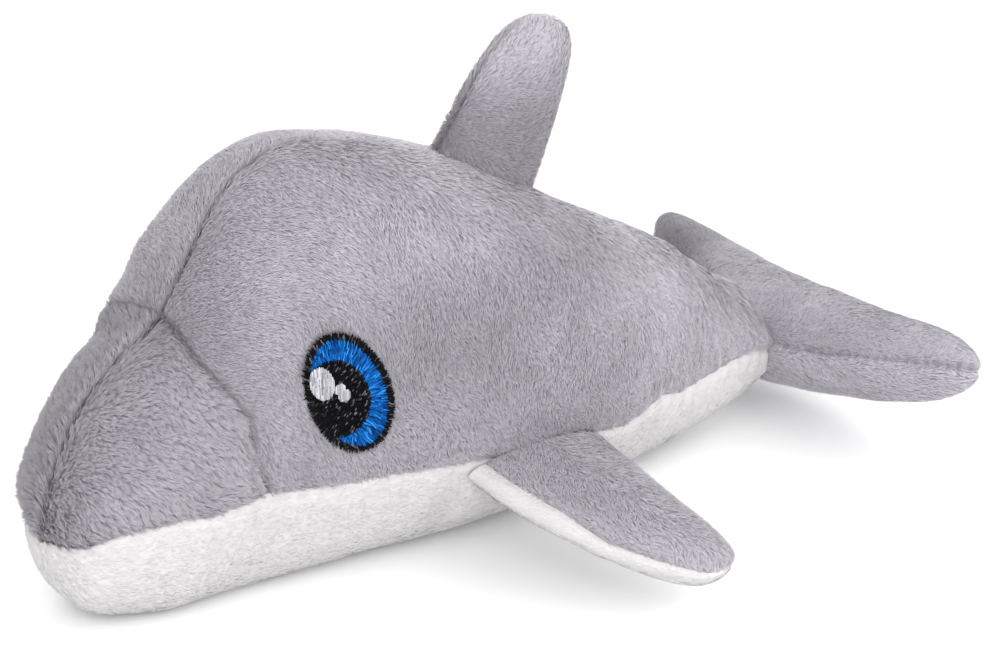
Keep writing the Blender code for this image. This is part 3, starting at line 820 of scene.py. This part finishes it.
def eyeShare(grid):
    # 1 on the outer edge of the eye, less inside it
    back = behindSnout(grid) - eye["fromSnout"]
    up = grid[..., 2] - eye["height"]
    short = back * np.cos(eye["tilt"]) + up * np.sin(eye["tilt"])
    long = -back * np.sin(eye["tilt"]) + up * np.cos(eye["tilt"])
    return np.hypot(short / (eye["short"] / 2), long / (eye["long"] / 2))


def sideComb(grid, fromTop, toBelly):
    # brushed down and back, more to the back on the beak and beside the seams
    back = behindSnout(grid)
    share = 0.75 - 0.4 * ramp(back, 20, 65) + 1.6 * fading(toBelly, 2.5)
    share += 2.2 * ramp(back, 60, 100) * fading(fromTop, 9) + 2 * fading(fromTop, 1.5)
    return unit(np.gradient(grid, axis=1)) + share[..., None] * unit(np.gradient(grid, axis=0))


# painted light and shade in zones of the pile: lighter on the crown, the nape, the rear and the rump,
# darker on the cheek and on the far side's beak
def paintedSideLight(root):
    # brushed plush: lighter where its pile lies away from the eye, darker where it stands up
    back, z = behindSnout(root), root[..., 2]
    tone = paintedSideTones["crown"] * ramp(z, 70, 90) + paintedSideTones["rear"] * ramp(back, 135, 165)
    tone += paintedSideTones["nape"] * bump(back, 98, 22) * ramp(z, 76, 88)
    tone += paintedSideTones["rump"] * bump(back, 158, 20) * bump(z, 60, 16)
    tone -= paintedSideTones["cheek"] * bump(back, 84, 24) * bump(z, 63, 17)
    return tone - paintedSideTones["farBeak"] * (back < body["beakTop"]) * ramp(root[..., 0], 0, -3)


def paintedSeamShade(grid, fromTop, toBelly, fromBeak):
    # the beak seam, the fine crease beside it and the seam along the head are darkened: painted shade in
    # their creases, where the pile is also pressed
    onHead = ramp(behindSnout(grid), 80, 50)
    dark = paintedSeamTones["secondCrease"] * secondCrease(grid, toBelly, fromBeak)
    dark += paintedSeamTones["beak"] * bump(fromBeak, 0, 0.9)
    return dark + paintedSeamTones["midline"] * onHead * bump(fromTop, 0, 0.8)


def hollowHeight(grid, other):
    # how far a panel rises to meet another one in a soft hollow
    size = meeting["size"]
    tree = BVHTree.FromPolygons(other.reshape(-1, 3).tolist(), gridQuads(*other.shape[:2]).tolist())
    gap = np.full(grid.shape[:2], size)
    for spot in np.argwhere(behindSnout(grid) > body["tailSeam"] - meeting["ahead"]):
        gap[tuple(spot)] = tree.find_nearest(grid[tuple(spot)])[3]
    return (1 - np.minimum(gap / size, 1)) ** 2 * size / 4


def tailHollow(points):
    # the flukes run softly into the top of the body, and meet its left side in a crease
    x, z = points[..., 0], points[..., 2]
    return ramp(x, 10, -2) * ramp(x, -34, -18) * ramp(z, 22, 32)


def bodyRings():
    # rings from the snout to the tail, closest where the shape turns most, and how many lie
    # before the beak seam
    beak = beakRing * (1 - (1 - np.linspace(0.011, 1, cells["beak"])) ** 1.5)
    rest = beakRing + (1 - beakRing) * np.linspace(0, 1, cells["rest"]) ** 1.25
    return np.concatenate([beak, rest[1:]]), len(beak) - 1


def bodyGrid(rings, angle):
    ring = np.broadcast_to(rings[:, None], angle.shape)
    return bodySurface(leaningRing(ring, angle), angle)


def beforeTail(grid):
    # the pile ends just behind the seam of the flukes
    return grid[..., 1] < snoutY + body["tailSeam"] + 4 * mm


def sidePanels(side, seed):
    # beak and side in one grid that is cut at the beak seam; the right ones are turned over
    right = side == "Right"
    flip = mirrored if right else 1
    rings, cut = bodyRings()
    seam = bellySeamAngle(rings, side)[:, None]
    angle = np.pi / 2 + (seam - np.pi / 2) * seamShares(cells["side"])
    grid = bodyGrid(rings, angle)
    fromTop, toBelly = distances(grid, 1)
    fromSnout = distances(grid, 0)[0]
    fromBeak = np.abs(fromSnout - fromSnout[cut])
    height = bodyRelief(grid, fromTop, toBelly, fromBeak) - relief["sideInset"]
    if right:
        beforeCut = (np.arange(len(rings)) < cut)[:, None]
        height += rightRelief(grid, fromTop, toBelly, fromBeak, beforeCut)
    share = eyeShare(grid)
    height = mm * (height - relief["underEye"] * smoothStep((1.3 - share) / 0.3))
    flukeTop = settledFlukes(*gridOf(np.linspace(-0.99, 0.99, 80), np.linspace(0, np.pi, 40)))
    height += tailHollow(grid * flip) * hollowHeight(grid * flip, flukeTop)
    comb = sideComb(grid, fromTop, toBelly)
    dark = paintedSeamShade(grid, fromTop, toBelly, fromBeak)
    outside = np.array([1.0, 0, 0]) * np.ones(grid.shape)
    keep = 1.0 * (share > 1) * beforeTail(grid)
    grid = formed(grid, outside, height)
    # the two sides meet on the middle plane
    grid[..., 0] -= (grid[:, :1, 0] + 0.1 * mm) * bump(fromTop, 0, 3)
    parts = [("beak", slice(0, cut + 1), "ruffled", seed), ("side", slice(cut, None), "grey", seed + 4)]
    for part, rows, style, partSeed in parts:
        plushPanel(
            f"{part}Plush{side}", f"{part}_panel_{side.lower()}", grid[rows], outside[rows], comb[rows],
            keep[rows], style, density["side"], partSeed, right, dark=dark[rows],
            paintedLight=lambda root: paintedSideLight(root * flip), avoid=lambda tip: eyeShare(tip) < 0.99,
        )


def bellyPanel():
    rings = bodyRings()[0]
    left, right = (bellySeamAngle(rings, side)[:, None] for side in ("Left", "Right"))
    share = signedPower(np.linspace(1, -1, cells["belly"]), 1.2)
    angle = -np.pi / 2 + (np.where(share > 0, left, right) + np.pi / 2) * share
    grid = bodyGrid(rings, angle)
    toSeam = np.minimum(*distances(grid, 1))
    height = -relief["bellyInset"] - relief["bellySeam"] * groove(toSeam, relief["bellyProfile"])
    height += relief["bellyPucker"] * puckers(grid, toSeam, 6, 0.25, 90, 130)
    height += noises(grid, relief["bellyLumps"], 8)
    # the fold in front of each flipper, where the plush is pulled up to its root
    height -= relief["flipperFold"] * bump(behindSnout(grid), 96, 4) * ramp(grid[..., 2], 0, 20)
    outside = np.array([0, 0, -1.0]) * np.ones(grid.shape)
    # hardly any pile where the belly rests on the floor
    keep = np.where(grid[..., 2] < 0.3 * mm, 0.05, 1.0) * beforeTail(grid)
    comb = unit(np.gradient(grid, axis=0))
    grid = formed(grid, outside, height * mm)
    plushPanel(
        "bellyPlush", "belly_panel", grid, outside, comb, keep, "white", density["belly"], 31, swirl=0.7
    )


sidePanels("Left", 110)
sidePanels("Right", 120)
bellyPanel()
print("body panels ready")


# fins

# depths in mm: of the seams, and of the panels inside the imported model's surface
finRelief = dict(seam=0.6, seamWidth=1.2, inset=1.0, whiteInset=0.6, dimple=0.75, stitch=2.3)
finLumps = [(12, 0.25), (5, 0.1)]


def finPanel(name, node, surface, places, span, outside, combOf, style, density, seed,
             mirror=False, extra=None, inset=finRelief["inset"], paintedLight=None):
    # span holds the angles of the panel's two seams around the fin, where 0 is its front
    start, end = (np.broadcast_to(seam, places.shape)[:, None] for seam in span)
    angle = start + (end - start) * seamShares(cells["fin"])
    spot = np.broadcast_to(places[:, None], angle.shape)
    grid = surface(spot, angle)
    first, last = distances(grid, 1)
    seams = bump(first, 0, finRelief["seamWidth"]) + bump(last, 0, finRelief["seamWidth"])
    more = 0 * first if extra is None else extra(grid, first, last)
    height = mm * (noises(grid, finLumps, seed) - finRelief["seam"] * seams - inset) + more
    outside = outside * np.ones(grid.shape)
    comb = combOf(grid, first, last)
    grid = formed(grid, outside, height)
    keep = np.where(insideBody(grid, -2.2 * mm), 0.0, 1.0)
    # painted shade in the seams and in the stitches' dimples, where the pile is also pressed
    dark = paintedSeamTones["fin"] * bump(np.minimum(first, last), 0, 0.8) + np.maximum(-0.35 * more / mm, 0)
    plushPanel(
        name, node, grid, outside, comb, keep, style, density, seed, mirror, paintedLight=paintedLight, dark=dark
    )


def dorsalFin():
    places = np.linspace(0.1, 0.995, cells["dorsal"])
    front = leanedFin(np.array(0.22), np.array(0.0))

    def comb(grid, first, last):
        # the pile fans out from the front of the fin's foot
        return unit(grid - front) + 0.25 * upward

    def paintedLight(root):
        # painted shade around the foot of the fin, where it meets the body, and painted light over the
        # rest of it
        return 0.36 - 0.7 * ramp(root[..., 2], 122, 100)

    sides = (("Left", (0, np.pi), 1.0, 41), ("Right", (np.pi, 2 * np.pi), -1.0, 42))
    for side, span, out, seed in sides:
        finPanel(
            f"dorsalFinPlush{side}", f"dorsal_fin_panel_{side.lower()}", leanedFin, places, span,
            np.array([out, 0, 0]), comb, "grey", density["fin"], seed, paintedLight=paintedLight,
        )


def flippers():
    places = np.linspace(0.1, 0.995, cells["flipper"])

    def comb(grid, first, last):
        # brushed to the tip, and from a parting in the middle towards both edges
        tipWay = unit(np.gradient(grid, axis=0))
        backWay = unit(np.gradient(grid, axis=1))
        share = first / (first + last + 0.1 * mm)
        ahead, behind = flipper["pileTurn"]
        turn = np.radians(ahead + (behind - ahead) * smoothStep((share - 0.3) / 0.35))
        turn = turn * ramp(np.minimum(first, last), 0, 4)
        return tipWay * np.cos(turn)[..., None] + backWay * np.sin(turn)[..., None]

    def under(grid, first, last):
        return unit(np.gradient(grid, axis=0))

    # painted light, a little more toward the flipper's tip
    def paintedLight(root):
        return 0.2 + 0.1 * ramp(np.abs(root[..., 0]), 36, 61)

    # the white underside comes up around the front edge, less so near the tip
    root, tip = flipper["whiteTo"]
    frontSeam = np.radians(root + (tip - root) * smoothStep((roundTip(places) - 0.5) / 0.3))
    top, underside = (frontSeam, np.pi), (np.pi, 2 * np.pi + frontSeam)
    for side, mirror, seed in (("Left", False, 51), ("Right", True, 61)):
        finPanel(
            f"flipperTopPlush{side}", f"flipper_top_{side.lower()}", flipperSurface, places, top,
            upward, comb, "grey", density["fin"], seed, mirror, paintedLight=paintedLight,
        )
        # the white underside is given painted light
        finPanel(
            f"flipperUndersidePlush{side}", f"flipper_underside_{side.lower()}", flipperSurface, places,
            underside, -upward, under, "white", density["underside"], seed + 1, mirror,
            inset=finRelief["whiteInset"], paintedLight=lambda root: 0.45,
        )


def flukes():
    places = np.linspace(-0.995, 0.995, cells["flukes"])
    rearBody = bodySurface(*gridOf(np.linspace(0.85, 1, 50), np.linspace(0, 2 * np.pi, 60)))

    def comb(grid, first, last):
        # brushed to the rear, and outwards on each lobe
        outward = 0.9 * grid[..., :1] / (fluke["span"] / 2)
        return np.concatenate([outward, np.ones(outward.shape), 0 * outward], -1)

    def dimples(seam, run):
        # each stitch of the front seam pulls in a small dimple
        stitch = 0.5 + 0.5 * np.cos(2 * np.pi * run / (finRelief["stitch"] * mm))
        return -finRelief["dimple"] * mm * bump(seam, 0.8, 1.1) * stitch

    def upper(grid, first, last):
        # full over the tail, where the filling of the body pushes in
        run = grid[..., 0]
        rise = (1.0 * bump(run, -11, 25) + 2.0 * bump(run, 9, 15)) * ramp(first, 0, 8) * ramp(last, 0, 9)
        return rise * mm + dimples(first, run) + tailHollow(grid) * hollowHeight(grid, rearBody)

    def lower(grid, first, last):
        return dimples(last, grid[..., 0])

    def paintedLight(root):
        # painted light toward the near lobe's tip, and painted shade on the far lobe
        return 0.1 + 0.15 * ramp(root[..., 0], 0, 50) - 0.42 * ramp(root[..., 0], -22, -36)

    finPanel(
        "flukeUpperPlush", "fluke_upper_panel", settledFlukes, places, (0, np.pi), upward, comb, "grey",
        density["flukeTop"], 71, extra=upper, paintedLight=paintedLight,
    )
    # the underside is given more painted light than the top
    finPanel(
        "flukeLowerPlush", "fluke_lower_panel", settledFlukes, places, (np.pi, 2 * np.pi), -upward, comb,
        "grey", density["underside"], 72, extra=lower, paintedLight=lambda root: paintedLight(root) + 0.34,
    )


dorsalFin()
flippers()
flukes()
print("fins ready")


# filling


def filling(name, node, rings, depth):
    # loose fibre inside the panels, a closed lumpy body a little smaller than its space
    middle = rings.mean(axis=1, keepdims=True)
    way = unit(rings - middle)
    rings = rings - way * (depth + 0.5 * mm * noise(rings, 9, 80)[..., None])
    rings[..., 2] = np.maximum(rings[..., 2], 3 * mm)
    rows, columns = rings.shape[:2]
    quads = gridQuads(rows, columns, True)
    ends = np.stack([rings[0].mean(0), rings[-1].mean(0)])
    vertices = np.concatenate([rings.reshape(-1, 3), ends])
    ring = np.arange(columns)
    beside = (ring + 1) % columns
    first = np.stack([beside, ring, np.full(columns, rows * columns)], -1)
    last = (rows - 1) * columns + np.stack([ring, beside, np.full(columns, columns + 1)], -1)
    uvs = [np.zeros((len(quads), 4, 2)), np.zeros((columns, 3, 2)), np.zeros((columns, 3, 2))]
    uvs = [block + np.arange(block.shape[1] * 2).reshape(-1, 2) * 0.01 for block in uvs]
    place(makeObject(name, vertices, [quads, first, last], uvs, fibre), node, "fibre_filling")


def fillings():
    turns = np.linspace(0, 2 * np.pi, 48, endpoint=False)
    trunk = bodySurface(*gridOf(np.linspace(0.22, 0.94, 60), turns))
    filling("bodyFibre", "body_filling", trunk, 6 * mm)
    turns = np.linspace(0, 2 * np.pi, 28, endpoint=False)
    spots = gridOf(np.linspace(0.2, 0.9, 22), turns)
    filling("dorsalFinFibre", "dorsal_fin_filling", leanedFin(*spots), 4 * mm)
    paddle = flipperSurface(*spots)
    filling("flipperFibreLeft", "flipper_filling_left", paddle, 3.2 * mm)
    filling("flipperFibreRight", "flipper_filling_right", paddle * mirrored, 3.2 * mm)
    spots = gridOf(np.linspace(-0.8, 0.8, 40), turns)
    filling("flukeFibre", "fluke_filling", settledFlukes(*spots), 5 * mm)


fillings()
print("filling ready")


# embroidered eyes

# the two corners of a stitch on each side of its tone
threadCorners = np.array([(-0.01, 0.3), (0.01, 0.3), (0.01, 0.5), (-0.01, 0.5)])
# the arched form of a stitch, as shares: places along it, with its height and width there
stitch = dict(
    along=np.array([0.0, 0.12, 0.5, 0.88, 1.0]),
    arch=np.array([0.15, 0.85, 1.0, 0.85, 0.15]),
    taper=np.array([0.55, 1.0, 1.0, 1.0, 0.55]),
    across=np.array([-0.5, 0.0, 0.5]),
    crown=np.array([0.25, 1.0, 0.25]),
)
# rows of the line and the iris: where they start and end, and how far they lean
lineLeans = (0.3, -0.25, 0.05)
irisRows = ((-0.05, 0.42, 0.15), (0.28, 0.75, -0.15), (0.6, 1.08, 0.1))
# middle, long and short size of each highlight
highlights = {
    "Large": [((-4.7 * mm, 6.9 * mm), 8.8 * mm, 5.6 * mm)],
    "Small": [((-1.6 * mm, 2.8 * mm), 2.6 * mm, 2.6 * mm), ((-1.3 * mm, 0.7 * mm), 2.9 * mm, 2.9 * mm)],
}
pupilMiddle = np.array([-eye["pupilForward"], 0])


def onEye(short, long, lift):
    back = eye["fromSnout"] + short * np.cos(eye["tilt"]) - long * np.sin(eye["tilt"])
    height = eye["height"] + short * np.sin(eye["tilt"]) + long * np.cos(eye["tilt"])
    return sidePoint(back, height, eye["lift"] + lift)


def ovalRadius(long, short):
    return lambda turn: long * short / 2 / np.hypot(long * np.cos(turn), short * np.sin(turn))


def eyeRadius(inset):
    # distance from the pupil's middle to the eye's oval, drawn in by inset
    long = eye["long"] / 2 - inset
    short = eye["short"] / 2 - inset
    forward = eye["pupilForward"]

    def at(turn):
        a = (np.cos(turn) / short) ** 2 + (np.sin(turn) / long) ** 2
        b = -2 * forward * np.cos(turn) / short**2
        c = (forward / short) ** 2 - 1
        return (-b + np.sqrt(b * b - 4 * a * c)) / (2 * a)

    return at


def wider(radius, more):
    return lambda turn: radius(turn) + more


def between(inner, outer, share):
    return lambda turn: inner(turn) + share * (outer(turn) - inner(turn))


def directions(turns):
    return np.stack([np.cos(turns), np.sin(turns)], -1)


def stitchMesh(starts, ends, lift, width, random):
    # satin stitches: each a thin arched strip from start to end, in eye coordinates
    count = len(starts)
    lifts = lift + random.uniform(-0.1, 0.1, count) * mm
    way = unit(ends - starts)
    side = np.stack([-way[:, 1], way[:, 0]], -1)
    widths = width * eye["threadWidth"] * random.uniform(0.85, 1.15, count)
    centre = starts[:, None] + (ends - starts)[:, None] * stitch["along"][:, None]
    reach = (widths[:, None] * stitch["taper"])[:, :, None, None] * stitch["across"][:, None]
    spots = centre[:, :, None] + side[:, None, None] * reach
    arch = stitch["arch"][None, :, None] * stitch["crown"][None, None]
    points = onEye(spots[..., 0], spots[..., 1], lifts[:, None, None] + eye["threadHeight"] * arch)
    number = np.arange(points.size // 3).reshape(points.shape[:3])
    quads = quadsOf(number.swapaxes(1, 2))
    tones = np.repeat(random.uniform(0.02, 0.98, count), len(quads) // count)
    return points.reshape(-1, 3), quads, toneUv(tones, threadCorners)


def patchMesh(inner, outer, turns, lift, closed=True, middle=pupilMiddle):
    # the padded ground under the stitches, in a darker tone than most stitches: painted shade in the
    # gaps between them
    share = np.linspace(0, 1, 5)[:, None]
    radius = between(inner, outer, share)(turns)
    short, long = middle[0] + radius * np.cos(turns), middle[1] + radius * np.sin(turns)
    points = onEye(short, long, lift + 0 * radius)
    quads = gridQuads(len(share), len(turns), closed)
    return points.reshape(-1, 3), quads, toneUv(np.full(len(quads), 0.25), threadCorners)


def embroidery(name, node, slotName, parts, thread, flip):
    vertices, quads, uvs, start = [], [], [], 0
    for points, faces, uv in parts:
        vertices.append(points)
        quads.append(faces + start)
        uvs.append(uv)
        start += len(points)
    vertices = np.concatenate(vertices)
    if flip:
        vertices = vertices * mirrored
        quads = [block[:, ::-1] for block in quads]
    place(makeObject(name, vertices, quads, uvs, thread), node, slotName)


def radialStitches(inner, outer, turns, lift, random, innerJitter, outerJitter, lean, width):
    count = len(turns)
    start = inner(turns) + random.uniform(-innerJitter, innerJitter, count)
    end = outer(turns) + random.uniform(-outerJitter, outerJitter, count)
    away = turns + lean + random.normal(0, 0.12, count)
    starts = pupilMiddle + directions(turns) * start[:, None]
    ends = starts + directions(away) * np.maximum(end - start, 0.3 * mm)[:, None]
    return stitchMesh(starts, ends, lift, width, random)


def fillStitches(radius, middle, lift, direction, random, length, pitch, jitter, width):
    # rows of stitches across a patch, in one direction, staggered from row to row
    way = directions(np.radians(direction))
    side = np.array([-way[1], way[0]])
    turns = np.linspace(0, 2 * np.pi, 720)
    outline = directions(turns) * radius(turns)[:, None]
    offsets = outline @ side
    starts, ends = [], []
    for row, offset in enumerate(np.arange(offsets.min() + pitch / 2, offsets.max(), pitch)):
        # ends of the row where the outline crosses this offset, or comes near it
        crossing = np.abs(np.diff(np.sign(offsets - offset))) > 0
        found = (outline[:-1] @ way)[crossing]
        if len(found) < 2:
            found = outline[np.abs(offsets - offset) < 2 * pitch] @ way
        pieces = max(1, int(np.ceil((found.max() - found.min()) / length)))
        cuts = np.linspace(found.min(), found.max(), pieces + 1)
        stagger = 0.5 * (row % 2) - 0.25
        cuts[1:-1] += stagger * length + random.uniform(-0.15, 0.15, pieces - 1) * length
        cuts[0] -= random.uniform(0, jitter)
        cuts[-1] += random.uniform(0, jitter)
        spots = np.array(middle) + side * offset + way * cuts[:, None]
        starts.append(spots[:-1])
        ends.append(spots[1:])
    return stitchMesh(np.concatenate(starts), np.concatenate(ends), lift, width, random)


def spread(radius, turns, pitch):
    # turns at an even distance from each other along a radius
    path = np.cumsum(radius(turns)) * (turns[1] - turns[0])
    return np.interp(np.arange(0, path[-1], pitch), path, turns)


def pupil(turn):
    # the lower half of the pupil is a little shorter than the upper one
    upper = ovalRadius(eye["pupilLong"], eye["pupilShort"])(turn)
    lower = ovalRadius(eye["pupilLong"] - 2.4 * mm, eye["pupilShort"])(turn)
    return np.where(np.sin(turn) > 0, upper, lower)


def centrePoint(turn):
    return 0 * turn + 0.05 * mm


def makeEye(side, flip, seed):
    random = np.random.default_rng(seed)
    name = side.lower()
    outer, line = eyeRadius(0.0), eyeRadius(eye["line"])
    every = np.linspace(-np.pi, np.pi, 1441)

    # black line, with spiky stitches across it
    around = np.linspace(0, 2 * np.pi, 96, endpoint=False)
    parts = [patchMesh(wider(line, -0.2 * mm), wider(outer, -0.2 * mm), around, -0.05 * mm)]
    for lean in lineLeans:
        parts.append(radialStitches(
            wider(line, -0.1 * mm), wider(outer, 0.05 * mm), spread(outer, every, 0.34 * mm), 0.12 * mm,
            random, 0.3 * mm, 0.38 * mm, lean, 0.85,
        ))
    embroidery(f"eyeLine{side}", f"eye_outline_{name}", "black_thread", parts, blackThread, flip)

    # blue iris: three rows of short stitches from the pupil to the line
    shown = every[line(every) - pupil(every) > 0.1 * mm]
    around = np.linspace(shown[0], shown[-1], 90)
    parts = [patchMesh(wider(pupil, -0.2 * mm), wider(line, 0.1 * mm), around, -0.1 * mm, False)]
    turns = spread(between(pupil, line, 0.5), shown, 0.27 * mm)
    for start, end, lean in irisRows:
        parts.append(radialStitches(
            between(pupil, line, start), between(pupil, line, end), turns, 0.06 * mm, random,
            0.45 * mm, 0.4 * mm, lean, 0.75,
        ))
    embroidery(f"eyeIris{side}", f"eye_iris_{name}", "blue_thread", parts, blueThread, flip)

    # black pupil: rows of short stitches
    def pupilEdge(turn):
        return np.minimum(pupil(turn), line(turn) + 0.1 * mm)

    around = np.linspace(0, 2 * np.pi, 80, endpoint=False)
    rows = fillStitches(
        pupilEdge, pupilMiddle, 0.12 * mm, 28, random, 0.7 * mm, 0.27 * mm, 0.3 * mm, 0.75
    )
    parts = [patchMesh(centrePoint, pupilEdge, around, 0.02 * mm), rows]
    embroidery(f"eyePupil{side}", f"eye_pupil_{name}", "black_thread", parts, blackThread, flip)

    # light highlights, stitched over the pupil
    for which, ovals in highlights.items():
        parts = []
        for middle, long, short in ovals:
            oval = ovalRadius(long, short)
            parts.append(patchMesh(centrePoint, oval, around, 0.38 * mm, middle=middle))
            parts.append(fillStitches(
                oval, middle, 0.45 * mm, 70, random, 2.6 * mm, 0.3 * mm, 0.35 * mm, 0.9
            ))
        embroidery(
            f"eyeHighlight{which}{side}", f"eye_highlight_{which.lower()}_{name}", "light_thread", parts,
            lightThread, flip,
        )


makeEye("Left", False, 91)
makeEye("Right", True, 92)
print("eyes ready")


# floor, light and camera

# sizes in metres; each light with its azimuth and height in degrees and its power in watts
studio = dict(
    floorColour="#fdfdfd",
    floorSize=30.0,
    world=0.68,
    lights={"key": (130, 45, 10.0), "fill": (50, 30, 15.5), "back": (240, 40, 10.0)},
    lightSize=1.4,
    lightDistance=1.4,
    lit=(0, 0, 0.05),
)
# the camera that was fitted to the photo, with the point it looks at
shot = dict(
    azimuth=np.radians(50.11),
    elevation=np.radians(24.15),
    roll=np.radians(4.29),
    distance=0.63877,
    fromSnout=127.93 * mm,
    height=45.72 * mm,
    lens=93.48,
)


def direction(azimuth, elevation):
    # to a place around the dolphin, with azimuth 0 before its snout
    flat = np.array([np.sin(azimuth), -np.cos(azimuth)]) * np.cos(elevation)
    return np.array([*flat, np.sin(elevation)])


def areaLight(name, azimuth, height, power):
    data = bpy.data.lights.new(name, "AREA")
    data.size = studio["lightSize"]
    data.energy = power
    made = addObject(name, data)
    made.location = studio["lightDistance"] * direction(*np.radians([azimuth, height]))
    made.rotation_mode = "QUATERNION"
    made.rotation_quaternion = (made.location - Vector(studio["lit"])).to_track_quat("Z", "Y")


def studioScene():
    scene = bpy.context.scene
    scene.view_settings.view_transform = "Standard"
    scene.world = bpy.data.worlds.new("softStudio")
    scene.world.use_nodes = True
    background = scene.world.node_tree.nodes["Background"]
    setInputs(background, {"Color": linear("#ffffff"), "Strength": studio["world"]})
    made = newMaterial("paleFloor", {"Base Color": linear(studio["floorColour"]), "Roughness": 0.9})[0]
    square = np.array([(0, 0), (1, 0), (1, 1), (0, 1)], float)
    corners = np.pad((2 * square - 1) * studio["floorSize"], ((0, 0), (0, 1)))
    floor = makeObject("floor", corners, [np.array([[0, 1, 2, 3]])], [square[None]], made)
    for name, light in studio["lights"].items():
        areaLight(name, *light)


def photoCamera():
    away = direction(shot["azimuth"], shot["elevation"])
    right = np.array([np.cos(shot["azimuth"]), np.sin(shot["azimuth"]), 0.0])
    up = np.cross(away, right)
    turned, across = np.cos(shot["roll"]), np.sin(shot["roll"])
    right, up = turned * right + across * up, turned * up - across * right
    spot = np.array([0, snoutY + shot["fromSnout"], shot["height"]]) + shot["distance"] * away
    data = bpy.data.cameras.new("camera")
    data.sensor_width = 36
    data.lens = shot["lens"]
    data.clip_start = 0.02
    made = addObject("camera", data)
    made.matrix_world = Matrix(np.vstack([np.stack([right, up, away, spot], -1), [0, 0, 0, 1]]).tolist())
    bpy.context.scene.camera = made


studioScene()
photoCamera()
print("studio ready")
